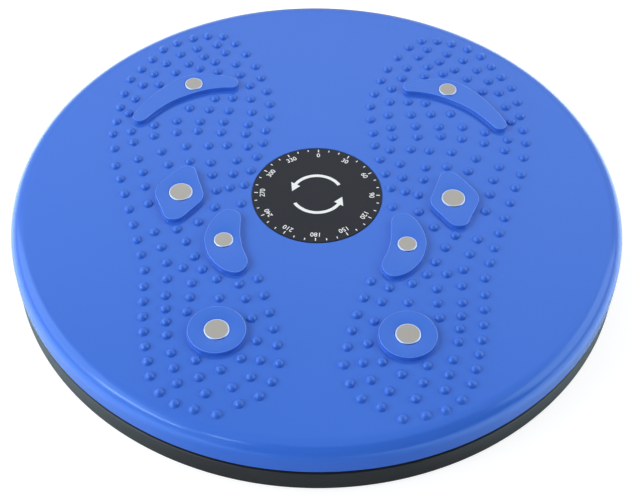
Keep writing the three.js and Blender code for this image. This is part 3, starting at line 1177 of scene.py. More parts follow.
    def dress(self, workshop: Workshop, sole: Sole) -> None:
        """Builds and dresses the moulding with its dots and ribs.

        Args:
            workshop: What dresses the pieces.
            sole: The places of the dots.
        """
        workshop.dress(self.moulding(), BLUE, Body.PLATFORM, ["platform_plate"])
        workshop.dress(self.ribs(), BLUE, Body.PLATFORM)
        workshop.dress(self.dots(sole), BLUE, Body.PLATFORM)


@dataclass
class Magnets:
    """The round magnets in the pads, and the pads about them.

    Args:
        platform: The moulding that makes the pads.
        kinds: The magnets of one sole, from toe to heel.
        rim_width: Width of a magnet's rim.
        rim_drop: How far its face lies below the rim.
        edge: Rounding of the rim.
        curve_steps: Steps from one corner of the frame's outline to the next.
    """

    platform: Platform
    kinds: tuple[str, ...] = ("toe", "mid", "arch", "heel")
    rim_width: float = 0.0009
    rim_drop: float = 0.00004
    edge: float = 0.0004
    curve_steps: int = 6

    def rim(self, node: str, centre: Point, radius: float) -> bpy.types.Object:
        """Makes the rounded rim of one magnet.

        Args:
            node: The frame's node that it belongs to.
            centre: The magnet's centre.
            radius: The magnet's radius.

        Returns:
            The new object.
        """
        low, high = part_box(node)
        corners = [
            Corner(radius - self.rim_width, low.z), Corner(radius, low.z, self.edge),
            Corner(radius, high.z, self.edge), Corner(radius - self.rim_width, high.z, self.edge),
        ]
        return turned_piece(f"{node}_rim", rounded(corners, steps=6), SMALL_SEGMENTS, centre)

    def magnet(self, node: str, centre: Point, radius: float) -> bpy.types.Object:
        """Makes the flat face of one magnet, within its rim.

        Args:
            node: The frame's node that it stands for.
            centre: Its centre.
            radius: Its radius.

        Returns:
            The new object.
        """
        low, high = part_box(node)
        face = high.z - self.rim_drop
        reach = radius - self.rim_width / 2
        section = [(0.0, low.z), (reach, low.z), (reach, face), (0.0, face)]
        return turned_piece(f"{node}_disc", section, SMALL_SEGMENTS, centre)

    def dress(self, workshop: Workshop, sole: Sole) -> None:
        """Builds and dresses every magnet and pad.

        Args:
            workshop: What dresses the pieces.
            sole: The outlines of the pads.
        """
        for kind in self.kinds:
            for side in Side:
                node = f"{kind}_magnet_{side.name.lower()}"
                low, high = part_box(node)
                middle = (low + high) / 2
                centre = (middle.x, middle.y)
                radius = (high.x - low.x) / 2
                workshop.dress(self.magnet(node, centre, radius), MAGNET, Body.PLATFORM, [node])
                # The rim's pale bluish metal is a painted highlight on the magnet's rounded edge.
                workshop.dress(self.rim(node, centre, radius), MAGNET_RIM_HIGHLIGHT, Body.PLATFORM)
                outline = self.outline(kind, middle, radius, sole)
                name = f"{kind}_pad_{side.name.lower()}"
                pad = self.platform.pad(name, outline, centre, radius)
                workshop.dress(pad, BLUE, Body.PLATFORM)
                # The bead's lighter blue is a painted highlight on the pad's upper edge.
                workshop.dress(self.platform.bead(f"{name}_bead", outline), BLUE_EDGE_HIGHLIGHT, Body.PLATFORM)

    def outline(self, kind: str, middle: Vector, radius: float, sole: Sole) -> list[Point]:
        """Gives a pad's smooth outline.

        Args:
            kind: Which of the pads it is.
            middle: The magnet's centre.
            radius: The magnet's radius.
            sole: The outlines that the frame gives.

        Returns:
            The outline, counter-clockwise.
        """
        if kind == "heel":
            return circle((middle.x, middle.y), self.platform.heel_pad_radius, 2 * SMALL_SEGMENTS)
        return smooth_loop(sole.outline_about(middle, 2 * radius), self.curve_steps)


@dataclass
class Label:
    """The round label over the pivot, printed as a plain dial.

    Args:
        film_edge: Rounding of the film's edge.
        print_depth: Half the depth of the print, which lies half in the film.
        number_radius: Radius of the circle through the numbers' middles.
        number_size: Height of a line of numbers.
        number_swell: How much the numbers' strokes are thickened, as a share of their size.
        number_step: Degrees from one number to the next.
        tick_step: Degrees from one tick to the next.
        tick_length: Length of a short tick.
        tick_width: Width of a tick.
        tick_radius: Radius at which the short ticks start.
        arrow_radius: Radius of the arrows' middle line.
        arrow_width: Width of an arrow's shaft.
        arrow_starts: Angles of the arrows' tails.
        arrow_sweep: Angle that a shaft covers.
        head_length: Angle that an arrow's head covers.
        head_width: Width of an arrow's head.
        arrow_steps: Steps along a shaft.
    """

    film_edge: float = 0.00015
    print_depth: float = 0.00003
    number_radius: float = 0.0268
    number_size: float = 0.0036
    number_swell: float = 0.008
    number_step: int = 30
    tick_step: int = 10
    tick_length: float = 0.0012
    tick_width: float = 0.0005
    tick_radius: float = 0.0297
    arrow_radius: float = 0.0125
    arrow_width: float = 0.0017
    arrow_starts: tuple[float, ...] = (math.radians(31), math.radians(211))
    arrow_sweep: float = math.radians(118)
    head_length: float = math.radians(24)
    head_width: float = 0.0052
    arrow_steps: int = 24

    def film(self) -> bpy.types.Object:
        """Makes the black film.

        Returns:
            The new object.
        """
        low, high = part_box("centre_label")
        corners = [
            Corner(0.0, low.z), Corner(high.x, low.z),
            Corner(high.x, high.z, self.film_edge), Corner(0.0, high.z),
        ]
        return turned_piece("label_film_disc", rounded(corners, steps=4), RIM_SEGMENTS)

    def ticks(self, top: float) -> bpy.types.Object:
        """Makes the ticks of the dial, with a long one at each number.

        Args:
            top: Height of the film's face.

        Returns:
            The new object.
        """
        maker = MeshMaker()
        half = self.tick_width / 2
        for degrees in range(0, 360, self.tick_step):
            angle = math.radians(90 - degrees)
            long = degrees % self.number_step == 0
            inner = self.tick_radius - (self.tick_length / 2 if long else 0.0)
            outer = self.tick_radius + self.tick_length
            along = Vector((math.cos(angle), math.sin(angle)))
            across = Vector((-along.y, along.x)) * half
            corners = [
                along * inner - across, along * outer - across,
                along * outer + across, along * inner + across,
            ]
            outline = counter_clockwise([(corner.x, corner.y) for corner in corners])
            maker.plate(outline, [], top - self.print_depth, top + self.print_depth)
        return maker.made("label_ticks")

    def arrows(self, top: float) -> bpy.types.Object:
        """Makes the two arrows that show the way to turn.

        Args:
            top: Height of the film's face.

        Returns:
            The new object.
        """
        maker = MeshMaker()
        half = self.arrow_width / 2
        for start in self.arrow_starts:
            end = start + self.arrow_sweep
            outer = arc((0.0, 0.0), self.arrow_radius + half, start, end, self.arrow_steps)
            inner = arc((0.0, 0.0), self.arrow_radius - half, end, start, self.arrow_steps)
            head = []
            for radius, angle in (
                (self.arrow_radius + self.head_width / 2, end),
                (self.arrow_radius, end + self.head_length),
                (self.arrow_radius - self.head_width / 2, end),
            ):
                head.append((radius * math.cos(angle), radius * math.sin(angle)))
            outline = counter_clockwise([*outer, *head, *inner])
            maker.plate(outline, [], top - self.print_depth, top + self.print_depth)
        return maker.made("label_arrows")

    def numbers(self, top: float) -> bpy.types.Object:
        """Makes the numbers of the dial, in degrees, with their heads outwards.

        Args:
            top: Height of the film's face.

        Returns:
            The new object.
        """
        parts = []
        for degrees in range(0, 360, self.number_step):
            text = bpy.data.curves.new("number", "FONT")
            text.body = str(degrees)
            text.size = self.number_size
            text.extrude = self.print_depth
            text.offset = self.number_size * self.number_swell
            text.align_x = "CENTER"
            text.align_y = "CENTER"
            sign = bpy.data.objects.new("number", text)
            bpy.context.scene.collection.objects.link(sign)
            turn = Matrix.Rotation(-math.radians(degrees), 4, "Z")
            bpy.context.view_layer.update()
            mesh = bpy.data.meshes.new_from_object(sign)
            mesh.transform(turn @ Matrix.Translation((0.0, self.number_radius, top)))
            parts.append(mesh)
            bpy.data.objects.remove(sign)
            bpy.data.curves.remove(text)
        work = bmesh.new()
        for part in parts:
            work.from_mesh(part)
            bpy.data.meshes.remove(part)
        bmesh.ops.remove_doubles(work, verts=work.verts, dist=WELD)
        bmesh.ops.recalc_face_normals(work, faces=work.faces)
        mesh = bpy.data.meshes.new("label_numbers")
        work.to_mesh(mesh)
        work.free()
        made = bpy.data.objects.new("label_numbers", mesh)
        bpy.context.scene.collection.objects.link(made)
        return made

    def dress(self, workshop: Workshop) -> None:
        """Builds and dresses the label.

        Args:
            workshop: What dresses the pieces.
        """
        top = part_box("centre_label")[1].z
        workshop.dress(self.film(), FILM, Body.PLATFORM, ["centre_label"])
        for piece in (self.ticks(top), self.arrows(top), self.numbers(top)):
            workshop.dress(piece, PRINT, Body.PLATFORM)


@dataclass
class Base:
    """The near-black moulding over the floor, with its feet.

    Args:
        datum: The frame's main places.
        race: The sizes of the ball race.
        stand_off: Height of the moulding's lower edge above the floor.
        wall: Thickness of the outer wall.
        wall_fillet: Rounding between the wall and the deck, inside.
        wall_edge: Rounding of the wall's inner lower edge.
        deck_wall: Thickness of the deck.
        edge: Rounding of the outer edges.
        rebate_depth: Depth of the rebate under the platform's skirt.
        rebate_height: Height of that rebate.
        race_fillet: Rounding between the race's ring and the deck.
        boss_radius: Radius of the pivot boss.
        boss_inset: Height of its lower face above the wall's lower edge.
        boss_bore: Radius of the hole for the bolt.
        boss_edges: Rounding of its lower edge, its upper edge and that hole's upper edge.
        boss_fillets: Rounding between it and the deck, below and above.
        head_flats: Width across the flats of the pocket for the bolt's head.
        head_height: Height of the bolt's head.
        head_recess: How far the head lies inside the boss.
        pocket_radius: Radius of the hole that the pocket's collar fills.
        collar_overlap: How far the collar reaches into the boss.
        collar_inset: How far it lies inside the boss's lower face.
        rib_count: Ribs under the deck.
        rib_width: Width of a rib.
        rib_depth: Depth of a rib.
        seat_wall: Thickness of the wall round a foot.
        seat_clearance: Gap between a foot and that wall.
        seat_ledge: Width of the ledge over a foot.
        seat_inset: Height of the seat's lower edge above the wall's lower edge.
        seat_edges: Rounding of the ledge's edge and of the seat's inner and outer lower edges.
        foot_count: How many feet there are.
        foot_edge: Rounding of a foot's lower edge.
        foot_top_edge: Rounding of its upper edge.
        tread_radii: Radii of the grooves in its tread.
        tread_width: Width of such a groove.
        tread_depth: Depth of such a groove.
        tread_edge: Rounding of its edges.
    """

    datum: Datum
    race: Race
    stand_off: float = 0.0012
    wall: float = 0.0026
    wall_fillet: float = 0.0012
    wall_edge: float = 0.0003
    deck_wall: float = 0.0025
    edge: float = 0.0004
    rebate_depth: float = 0.0016
    rebate_height: float = 0.0014
    race_fillet: float = 0.0006
    boss_radius: float = 0.013
    boss_inset: float = 0.0031
    boss_bore: float = 0.0033
    boss_edges: tuple[float, float, float] = (0.0004, 0.0005, 0.0003)
    boss_fillets: Span = (0.001, 0.0008)
    head_flats: float = 0.0106
    head_height: float = 0.004
    head_recess: float = 0.0004
    pocket_radius: float = 0.0085
    collar_overlap: float = 0.00015
    collar_inset: float = 0.00005
    rib_count: int = 12
    rib_width: float = 0.002
    rib_depth: float = 0.0036
    seat_wall: float = 0.0022
    seat_clearance: float = 0.0003
    seat_ledge: float = 0.0017
    seat_inset: float = 0.0005
    seat_edges: tuple[float, float, float] = (0.0002, 0.0003, 0.0005)
    foot_count: int = 6
    foot_edge: float = 0.0008
    foot_top_edge: float = 0.0002
    tread_radii: tuple[float, ...] = (0.0034, 0.0066)
    tread_width: float = 0.0009
    tread_depth: float = 0.0005
    tread_edge: float = 0.0001

    def section(self) -> list[Point]:
        """Gives the moulding's section.

        Returns:
            Points of radius and height.
        """
        d = self.datum
        deck_bottom = d.base_top - self.deck_wall
        boss_bottom = self.stand_off + self.boss_inset
        bolt_seat = boss_bottom + self.head_recess + self.head_height
        race_in = d.race_radius - self.race.width / 2
        race_out = d.race_radius + self.race.width / 2
        race_top = d.ball_height - self.race.opening / 2
        rebate = d.base_top - self.rebate_height
        lower_edge, upper_edge, bore_edge = self.boss_edges
        lower_fillet, upper_fillet = self.boss_fillets
        corners = [
            Corner(self.boss_bore, bolt_seat),
            Corner(self.pocket_radius, bolt_seat),
            Corner(self.pocket_radius, boss_bottom),
            Corner(self.boss_radius, boss_bottom, lower_edge),
            Corner(self.boss_radius, deck_bottom, lower_fillet),
            Corner(d.base_radius - self.wall, deck_bottom, self.wall_fillet),
            Corner(d.base_radius - self.wall, self.stand_off, self.wall_edge),
            Corner(d.base_radius, self.stand_off, self.edge),
            Corner(d.base_radius, rebate, self.edge),
            Corner(d.base_radius - self.rebate_depth, rebate),
            Corner(d.base_radius - self.rebate_depth, d.base_top, self.edge),
            Corner(race_out, d.base_top, self.race_fillet),
            Corner(race_out, race_top, self.race.edge),
            *self.race.groove(d, False),
            Corner(race_in, race_top, self.race.edge),
            Corner(race_in, d.base_top, self.race_fillet),
            Corner(self.boss_radius, d.base_top, upper_fillet),
            Corner(self.boss_radius, d.boss_top, upper_edge),
            Corner(self.boss_bore, d.boss_top, bore_edge),
        ]
        return rounded(corners)

    def foot_centres(self) -> list[Point]:
        """Reads the places of the feet.

        Returns:
            Their centres, in the frame's order.
        """
        centres = []
        for index in range(self.foot_count):
            low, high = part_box(f"rubber_foot_{index + 1:02d}")
            centres.append(((low.x + high.x) / 2, (low.y + high.y) / 2))
        return centres

    def moulding(self) -> bpy.types.Object:
        """Makes the deck, wall, race and boss, with the hexagonal pocket in the boss.

        Returns:
            The new object.
        """
        maker = MeshMaker()
        maker.turned(self.section(), RIM_SEGMENTS)
        bottom = self.stand_off + self.boss_inset
        top = bottom + self.head_recess + self.head_height
        collar = circle((0.0, 0.0), self.pocket_radius + self.collar_overlap, SMALL_SEGMENTS)
        maker.plate(collar, [hexagon(self.head_flats)], bottom + self.collar_inset, top)
        return maker.made("base_moulding", sharp_degrees=35.0)

    def underside(self) -> bpy.types.Object:
        """Makes the ribs and foot seats under the deck.

        Returns:
            The new object.
        """
        maker = MeshMaker()
        top = self.datum.base_top - self.deck_wall / 2
        low = self.datum.base_top - self.deck_wall - self.rib_depth
        inner = self.boss_radius - self.edge
        outer = self.datum.base_radius - self.wall + self.edge
        outline = [(inner, low), (outer, low), (outer, top), (inner, top)]
        for index in range(self.rib_count):
            add_rib(maker, TURN * index / self.rib_count, outline, low, self.rib_width)
        foot_low, foot_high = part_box("rubber_foot_01")
        seat = (foot_high.y - foot_low.y) / 2 + self.seat_clearance
        ledge_edge, inner_edge, outer_edge = self.seat_edges
        section = rounded([
            Corner(seat - self.seat_ledge, foot_high.z, ledge_edge),
            Corner(seat, foot_high.z),
            Corner(seat, self.stand_off + self.seat_inset, inner_edge),
            Corner(seat + self.seat_wall, self.stand_off + self.seat_inset, outer_edge),
            Corner(seat + self.seat_wall, top),
            Corner(seat - self.seat_ledge, top),
        ], steps=4)
        for centre in self.foot_centres():
            maker.turned(section, SMALL_SEGMENTS, centre)
        return maker.made("base_ribs", sharp_degrees=35.0)

    def foot_section(self, radius: float, height: float) -> list[Point]:
        """Gives a foot's section, with round grooves in its tread.

        Args:
            radius: The foot's radius.
            height: The foot's height.

        Returns:
            Points of radius and height.
        """
        corners = [Corner(0.0, 0.0)]
        half = self.tread_width / 2
        for groove in self.tread_radii:
            corners.extend([
                Corner(groove - half, 0.0, self.tread_edge),
                Corner(groove - half, self.tread_depth, self.tread_edge),
                Corner(groove + half, self.tread_depth, self.tread_edge),
                Corner(groove + half, 0.0, self.tread_edge),
            ])
        corners.extend([
            Corner(radius, 0.0, self.foot_edge),
            Corner(radius, height, self.foot_top_edge),
            Corner(0.0, height),
        ])
        return rounded(corners, steps=4)

    def dress(self, workshop: Workshop) -> None:
        """Builds and dresses the base and its feet.

        Args:
            workshop: What dresses the pieces.
        """
        workshop.dress(self.moulding(), BLACK, Body.BASE, ["base_plate"])
        workshop.dress(self.underside(), BLACK, Body.BASE)
        low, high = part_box("rubber_foot_01")
        section = self.foot_section((high.y - low.y) / 2, high.z)
        for index, centre in enumerate(self.foot_centres()):
            foot = turned_piece(f"foot_{index + 1:02d}", section, SMALL_SEGMENTS, centre)
            workshop.dress(foot, RUBBER, Body.BASE, [f"rubber_foot_{index + 1:02d}"])


@dataclass
class Pivot:
    """The bolt, sleeve, washer and nut that hold the platform down.

    Args:
        bore: Inner radius of the sleeve and the washer.
        bolt_radius: Radius of the bolt's shank.
        head_flats: Width across the flats of the bolt's head and the nut.
        head_height: Height of the bolt's head.
        chamfer: Chamfer of the bolt's head and rounding of its tip.
        edge: Rounding of the sleeve's and the washer's edges.
        washer_radius: Radius of the washer.
    """

    bore: float = 0.0033
    bolt_radius: float = 0.003
    head_flats: float = 0.01
    head_height: float = 0.004
    chamfer: float = 0.0006
    edge: float = 0.0002
    washer_radius: float = 0.009

    def bolt(self) -> bpy.types.Object:
        """Makes the bolt, with its head's lower edge chamfered.

        Returns:
            The new object.
        """
        low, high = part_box("pivot_bolt")
        maker = MeshMaker()
        seat = low.z + self.head_height
        tip = self.chamfer * math.sqrt(3) / 2
        levels = [(self.head_flats - 2 * tip, low.z), (self.head_flats, low.z + tip), (self.head_flats, seat)]
        rings = [maker.ring([(x, y, height) for x, y in hexagon(flats)]) for flats, height in levels]
        maker.cap(list(reversed(rings[0])))
        maker.bridge(rings[0], rings[1])
        maker.bridge(rings[1], rings[2])
        maker.cap(rings[2])
        shank = rounded([
            Corner(0.0, seat - self.edge), Corner(self.bolt_radius, seat - self.edge),
            Corner(self.bolt_radius, high.z, self.chamfer), Corner(0.0, high.z),
        ], steps=4)
        maker.turned(shank, SMALL_SEGMENTS)
        return maker.made("bolt", sharp_degrees=25.0)

    def ring(self, name: str, node: str, outer: float) -> bpy.types.Object:
        """Makes a plain ring round the bolt in the place of a node.

        Args:
            name: The piece's name.
            node: The node that gives its heights.
            outer: Its outer radius.

        Returns:
            The new object.
        """
        low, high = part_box(node)
        section = rounded([
            Corner(self.bore, low.z, self.edge), Corner(outer, low.z, self.edge),
            Corner(outer, high.z, self.edge), Corner(self.bore, high.z, self.edge),
        ], steps=3)
        return turned_piece(name, section, SMALL_SEGMENTS)

    def nut(self) -> bpy.types.Object:
        """Makes the nut.

        Returns:
            The new object.
        """
        low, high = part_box("pivot_nut")
        maker = MeshMaker()
        hole = circle((0.0, 0.0), self.bolt_radius + self.edge / 2, SMALL_SEGMENTS)
        maker.plate(hexagon(self.head_flats), [hole], low.z, high.z)
        return maker.made("nut", sharp_degrees=25.0)

    def dress(self, workshop: Workshop) -> None:
        """Builds and dresses the pivot.

        Args:
            workshop: What dresses the pieces.
        """
        sleeve_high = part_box("pivot_sleeve")[1]
        workshop.dress(self.bolt(), STEEL, Body.BASE, ["pivot_bolt"])
        sleeve = self.ring("sleeve", "pivot_sleeve", sleeve_high.x)
        workshop.dress(sleeve, NYLON, Body.BASE, ["pivot_sleeve"])
        washer = self.ring("washer", "pivot_washer", self.washer_radius)
        workshop.dress(washer, STEEL, Body.BASE, ["pivot_washer"])
        workshop.dress(self.nut(), STEEL, Body.BASE, ["pivot_nut"])


@dataclass
class Bearing:
    """The balls and the cage ring that spaces them.

    Args:
        datum: The frame's main places.
        ball_count: How many balls there are.
        clearance: Gap between a ball and its hole in the cage.
        hole_segments: Segments round such a hole.
        ball_rings: Steps from a ball's foot to its top.
    """

    datum: Datum
    ball_count: int = 12
    clearance: float = 0.0003
    hole_segments: int = 40
    ball_rings: int = 24

    def cage(self) -> bpy.types.Object:
        """Makes the cage ring with a hole for each ball.

        Returns:
            The new object.
        """
        low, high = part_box("ball_cage")
        inner = 2 * self.datum.race_radius - high.x
        holes = []
        for index in range(self.ball_count):
            angle = TURN * index / self.ball_count
            centre = (self.datum.race_radius * math.cos(angle), self.datum.race_radius * math.sin(angle))
            holes.append(circle(centre, self.datum.ball_radius + self.clearance, self.hole_segments))
        maker = MeshMaker()
        outline = circle((0.0, 0.0), high.x, RIM_SEGMENTS)
        bore = circle((0.0, 0.0), inner, RIM_SEGMENTS)
        maker.plate(outline, [bore, *holes], low.z, high.z)
        return maker.made("cage")

    def ball(self, index: int) -> bpy.types.Object:
        """Makes one ball.

        Args:
            index: Its number, from zero.

        Returns:
            The new object.
        """
        low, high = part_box(f"race_ball_{index + 1:02d}")
        middle = (low + high) / 2
        half = arc((0.0, middle.z), self.datum.ball_radius, -math.pi / 2, math.pi / 2, self.ball_rings)
        section = [(0.0, half[0][1]), *half[1:-1], (0.0, half[-1][1])]
        return turned_piece(f"ball_{index + 1:02d}", section, 2 * self.ball_rings, (middle.x, middle.y))

    def dress(self, workshop: Workshop) -> None:
        """Builds and dresses the cage and the balls.

        Args:
            workshop: What dresses the pieces.
        """
        workshop.dress(self.cage(), NYLON, Body.BEARING, ["ball_cage"])
        for index in range(self.ball_count):
            workshop.dress(self.ball(index), BALL, Body.BEARING, [f"race_ball_{index + 1:02d}"])


# Studio


@dataclass
class Camera:
    """The camera, at the photograph's place and angle.

    Args:
        radius: The disc's radius.
        aim_height: Height above the floor of the place that it looks at, before it is panned and tilted.
        picture_width: Width of the photograph.
        focal_pixels: Focal length in the photograph's pixels.
        distance_in_radii: Distance from that place, in radii of the disc.
        azimuth: Angle round the disc, from the front.
        elevation: Angle above the floor.
        pan: Turn about its own upright.
        tilt: Turn about its own level.
        roll: Turn about its line of sight.
        sensor: Width of its sensor in millimetres.
    """

    radius: float
    aim_height: float = 0.0288
    picture_width: float = 635.0
    focal_pixels: float = 1324.0
    distance_in_radii: float = 4.3513
    azimuth: float = math.radians(0.985)
    elevation: float = 0.80914
    pan: float = -0.00076
    tilt: float = -0.04181
    roll: float = -0.01028
    sensor: float = 36.0

    def place(self) -> bpy.types.Object:
        """Makes the camera and gives it to the scene.

        Returns:
            The camera.
        """
        flat = math.cos(self.elevation)
        back = Vector((
            math.sin(self.azimuth) * flat, -math.cos(self.azimuth) * flat, math.sin(self.elevation),
        ))
        forward = -back
        right = Vector((math.cos(self.azimuth), math.sin(self.azimuth), 0.0))
        up = right.cross(forward)
        tilt = Quaternion(right, self.tilt)
        forward, up = tilt @ forward, tilt @ up
        pan = Quaternion(up, self.pan)
        forward, right = pan @ forward, pan @ right
        roll = Quaternion(forward, self.roll)
        right, up = roll @ right, roll @ up
        lens = bpy.data.cameras.new("studio_camera")
        lens.sensor_width = self.sensor
        lens.lens = self.focal_pixels / self.picture_width * self.sensor
        made = bpy.data.objects.new("studio_camera", lens)
        turn = Matrix((right, up, -forward)).transposed().to_4x4()
        spot = back * (self.distance_in_radii * self.radius) + Vector((0.0, 0.0, self.aim_height))
        made.matrix_world = Matrix.Translation(spot) @ turn
        bpy.context.scene.collection.objects.link(made)
        bpy.context.scene.camera = made
        return made


@dataclass(frozen=True)
class Lamp:
    """A softbox that looks at the disc's centre and doesn't show itself to the camera.

    Args:
        name: The lamp's name.
        place: Where its middle hangs.
        size: Its width and height.
        radiance: How bright its face is, where white paper in plain light is one.
        mirrored: Whether glossy surfaces show it.
        colour: Linear colour of its light.
    """

    name: str
    place: Point3
    size: Point
    radiance: float
    mirrored: bool = True
    colour: Colour = WHITE

    def hang(self) -> None:
        """Makes the lamp."""
        light = bpy.data.lights.new(self.name, "AREA")
        light.shape = "RECTANGLE"
        light.size, light.size_y = self.size
        light.color = self.colour
        light.energy = self.radiance * math.pi * self.size[0] * self.size[1]
        made = bpy.data.objects.new(self.name, light)
        made.location = self.place
        made.rotation_euler = (-Vector(self.place)).to_track_quat("-Z", "Y").to_euler()
        made.visible_camera = False
        made.visible_glossy = self.mirrored
        bpy.context.scene.collection.objects.link(made)


@dataclass(frozen=True)
class Flag:
    """The black cloth that glossy surfaces mirror on the near side.

    Args:
        dome: Where it hangs.
        colour: Linear colour of the cloth.
    """

    dome: DomePart = DomePart(first=246, last=342, bottom=0, top=62, radius=3.0, steps=24)
    colour: Colour = (0.02, 0.02, 0.02)

    def hang(self) -> None:
        """Makes the cloth, which only glossy surfaces show."""
        flag = self.dome.made("flag")
        shader = Shader("flag_cloth")
        shader.set(Base_Color=(*self.colour, 1.0), Roughness=1.0, Specular_IOR_Level=0.0)
        flag.data.materials.append(shader.material)
        mirror_only(flag)


@dataclass(frozen=True)
class Board:
    """The board on the floor round the disc, dark in front and pale at the sides, where it glows.

    Args:
        inner: Radius of its hole.
        outer: Its radius.
        height: Its height above the floor.
        aside: Distances to the side between which it turns from dark to pale.
        dark: Linear colour in front of the disc and behind it.
        light: Linear colour at the disc's sides, and of the glow.
        glow: The glow's full strength.
        reach: Distances from the axis between which the glow rises.
    """

    inner: float = 0.14
    outer: float = 1.6
    height: float = 0.0006
    aside: Span = (0.04, 0.14)
    dark: Colour = (0.28, 0.28, 0.29)
    light: Colour = (0.8, 0.98, 1.0)
    glow: float = 1.4
    reach: Span = (0.15, 0.19)

    def lay(self) -> None:
        """Makes the board, which only glossy surfaces show."""
        maker = MeshMaker()
        loops = [circle((0.0, 0.0), radius, RIM_SEGMENTS) for radius in (self.outer, self.inner)]
        outer, inner = [maker.ring([(x, y, self.height) for x, y in loop]) for loop in loops]
        maker.bridge(outer, inner)
        board = maker.made("board")
        shader = Shader("grey_board")
        shader.set(Roughness=1.0, Specular_IOR_Level=0.0, Emission_Color=(*self.light, 1.0))
        share = shader.spread(shader.maths("ABSOLUTE", shader.along("X")), self.aside, (0.0, 1.0))
        rise = shader.spread(shader.distance(), self.reach, (0.0, self.glow))
        shader.link(shader.maths("MULTIPLY", rise, share), shader.surface.inputs["Emission Strength"])
        shader.link(shader.between(share, self.dark, self.light), shader.surface.inputs["Base Color"])
        board.data.materials.append(shader.material)
        mirror_only(board)


@dataclass(frozen=True)
class Sheet:
    """A bright sheet round the disc that fades upwards into the surroundings.

    Args:
        name: The sheet's name.
        dome: Where it hangs.
        full: Elevation up to which it is at its full level, in degrees.
        level: Its full level, where the surroundings are one.
    """

    name: str
    dome: DomePart
    full: float
    level: float

    def hang(self) -> None:
        """Makes the sheet, which only glossy surfaces show."""
        sheet = self.dome.made(self.name)
        shader = Shader(f"{self.name}_cloth")
        shader.set(Base_Color=(0.0, 0.0, 0.0, 1.0), Specular_IOR_Level=0.0, Emission_Color=(*WHITE, 1.0))
        fade = tuple(self.dome.radius * math.sin(math.radians(at)) for at in (self.full, self.dome.top))
        strength = shader.spread(shader.along("Z"), fade, (self.level, 1.0))
        shader.link(strength, shader.surface.inputs["Emission Strength"])
        sheet.data.materials.append(shader.material)
        mirror_only(sheet)


def mirror_only(piece: bpy.types.Object) -> None:
    """Puts a piece on the stage so that only glossy surfaces show it.

    Args:
        piece: The piece.
    """
    piece.visible_camera = False
    piece.visible_diffuse = False
    piece.visible_shadow = False


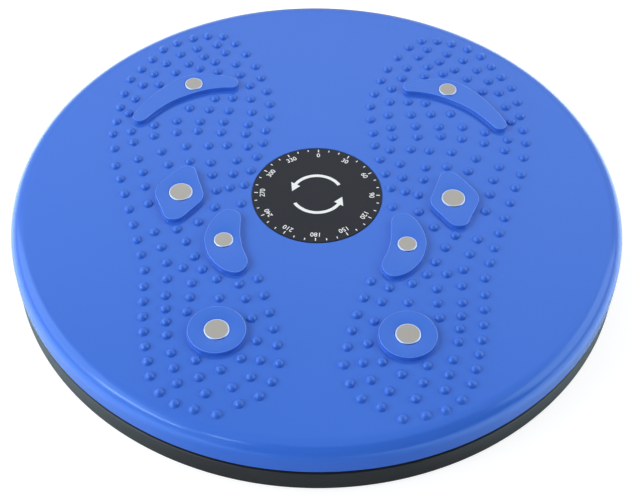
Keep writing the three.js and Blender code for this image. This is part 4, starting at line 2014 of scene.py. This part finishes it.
@dataclass
class Studio:
    """The white floor, the white surroundings, what glossy surfaces mirror and the soft lamps.

    Args:
        floor_radius: Radius of the floor.
        paper: Linear colour of the floor as a light.
        seen_paper: Its linear colour to the eye, without its lift.
        lift: What is added to it to the eye, near the disc and far away.
        lift_reach: Distances from the axis between which the lift rises.
        sky_level: Level of the surroundings as a light.
        flag: The black cloth.
        board: The board on the floor.
        sheets: The bright sheets.
        lamps: The lamps.
    """

    floor_radius: float = 6.0
    paper: Colour = (0.92, 0.92, 0.92)
    seen_paper: Colour = (0.35, 0.35, 0.35)
    lift: Span = (0.8, 1.0)
    lift_reach: Span = (0.5, 1.0)
    sky_level: float = 0.1
    flag: Flag = Flag()
    board: Board = Board()
    sheets: tuple[Sheet, ...] = (
        Sheet("rear_sheet", DomePart(15, 165, bottom=36, top=64, radius=2.6, steps=30), full=43, level=1.65),
        Sheet("left_sheet", DomePart(140, 222, bottom=-8, top=13, radius=2.6, steps=30), full=-1, level=2.0),
        Sheet("right_sheet", DomePart(-17, 40, bottom=-8, top=13, radius=2.6, steps=30), full=-1, level=1.8),
    )
    lamps: tuple[Lamp, ...] = (
        Lamp("left_softbox", (-1.05, 0.02, 0.77), (1.45, 0.85), 2.5, colour=COOL),
        Lamp("left_strip", (-0.9, -0.62, 0.66), (0.6, 0.17), 10.0, colour=COOL),
        Lamp("small_strip", (-0.44, -0.8, 0.82), (0.15, 0.09), 12.0),
        Lamp("right_softbox", (1.055, 0.05, 0.66), (1.2, 0.62), 2.4, colour=COOL),
        Lamp("left_high", (-1.0, 0.05, 0.9), (1.2, 1.0), 1.0, mirrored=False),
        Lamp("right_high", (1.0, 0.1, 0.9), (1.2, 1.0), 0.7, mirrored=False),
        Lamp("rear_softbox", (0.2, 0.75, 0.8), (1.2, 0.6), 1.7, mirrored=False),
        Lamp("left_fill", (-1.1, -0.8, 0.12), (1.2, 0.22), 7.5, mirrored=False),
        Lamp("right_fill", (1.2, -0.6, 0.12), (1.2, 0.22), 4.2, mirrored=False),
    )

    def floor(self) -> None:
        """Makes the floor, which shows nearly white where nothing shades it."""
        maker = MeshMaker()
        loop = maker.ring([(x, y, 0.0) for x, y in circle((0.0, 0.0), self.floor_radius, SMALL_SEGMENTS)])
        maker.cap(loop)
        floor = maker.made("floor")
        shader = Shader("floor_paper")
        shader.set(Roughness=0.9, Specular_IOR_Level=0.0, Emission_Color=(*WHITE, 1.0))
        seen = self.seen(shader.tree)
        shader.link(shader.between(seen, self.paper, self.seen_paper), shader.surface.inputs["Base Color"])
        lift = shader.spread(shader.distance(), self.lift_reach, self.lift)
        shader.link(shader.maths("MULTIPLY", seen, lift), shader.surface.inputs["Emission Strength"])
        floor.data.materials.append(shader.material)

    @staticmethod
    def seen(tree: bpy.types.NodeTree) -> bpy.types.NodeSocket:
        """Tells what the eye sees from what lights the disc.

        Args:
            tree: The node tree that asks.

        Returns:
            One for rays from the camera, a mirror or a clear body, and zero for the rest.
        """
        path = tree.nodes.new("ShaderNodeLightPath")
        first = tree.nodes.new("ShaderNodeMath")
        first.operation = "MAXIMUM"
        tree.links.new(path.outputs["Is Camera Ray"], first.inputs[0])
        tree.links.new(path.outputs["Is Glossy Ray"], first.inputs[1])
        second = tree.nodes.new("ShaderNodeMath")
        second.operation = "MAXIMUM"
        tree.links.new(first.outputs[0], second.inputs[0])
        tree.links.new(path.outputs["Is Transmission Ray"], second.inputs[1])
        return second.outputs[0]

    def surroundings(self) -> None:
        """Makes the surroundings: white to the eye, at their own level as a light."""
        world = bpy.data.worlds.new("surroundings")
        bpy.context.scene.world = world
        world.use_nodes = True
        tree = world.node_tree
        sky = tree.nodes["Background"]
        sky.inputs["Color"].default_value = (*WHITE, 1.0)
        level = tree.nodes.new("ShaderNodeMapRange")
        level.inputs["To Min"].default_value = self.sky_level
        level.inputs["To Max"].default_value = 1.0
        tree.links.new(self.seen(tree), level.inputs["Value"])
        tree.links.new(level.outputs["Result"], sky.inputs["Strength"])

    def build(self) -> None:
        """Makes the whole studio."""
        bpy.context.scene.view_settings.view_transform = "Standard"
        self.floor()
        self.surroundings()
        self.flag.hang()
        self.board.lay()
        for sheet in self.sheets:
            sheet.hang()
        for lamp in self.lamps:
            lamp.hang()


def main() -> None:
    """Builds every piece round the frame, in order."""
    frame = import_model()
    race = Race()
    datum = Datum.read(Platform.label_seat_depth, race.floor, race.clearance)
    Camera(datum.disc_radius).place()
    platform = Platform(datum, race)
    sole = Sole(frame["nodes"]["platform_plate"], datum, platform.dot_height)
    LOG.info("%d dots and %d outlines read", len(sole.dots), len(sole.loops))
    workshop = Workshop()
    Base(datum, race).dress(workshop)
    Pivot().dress(workshop)
    Bearing(datum).dress(workshop)
    platform.dress(workshop, sole)
    Magnets(platform).dress(workshop, sole)
    Label().dress(workshop)
    Studio().build()


if __name__ == "__main__":
    logging.basicConfig(level=logging.INFO, format="%(name)s: %(message)s")
    main()
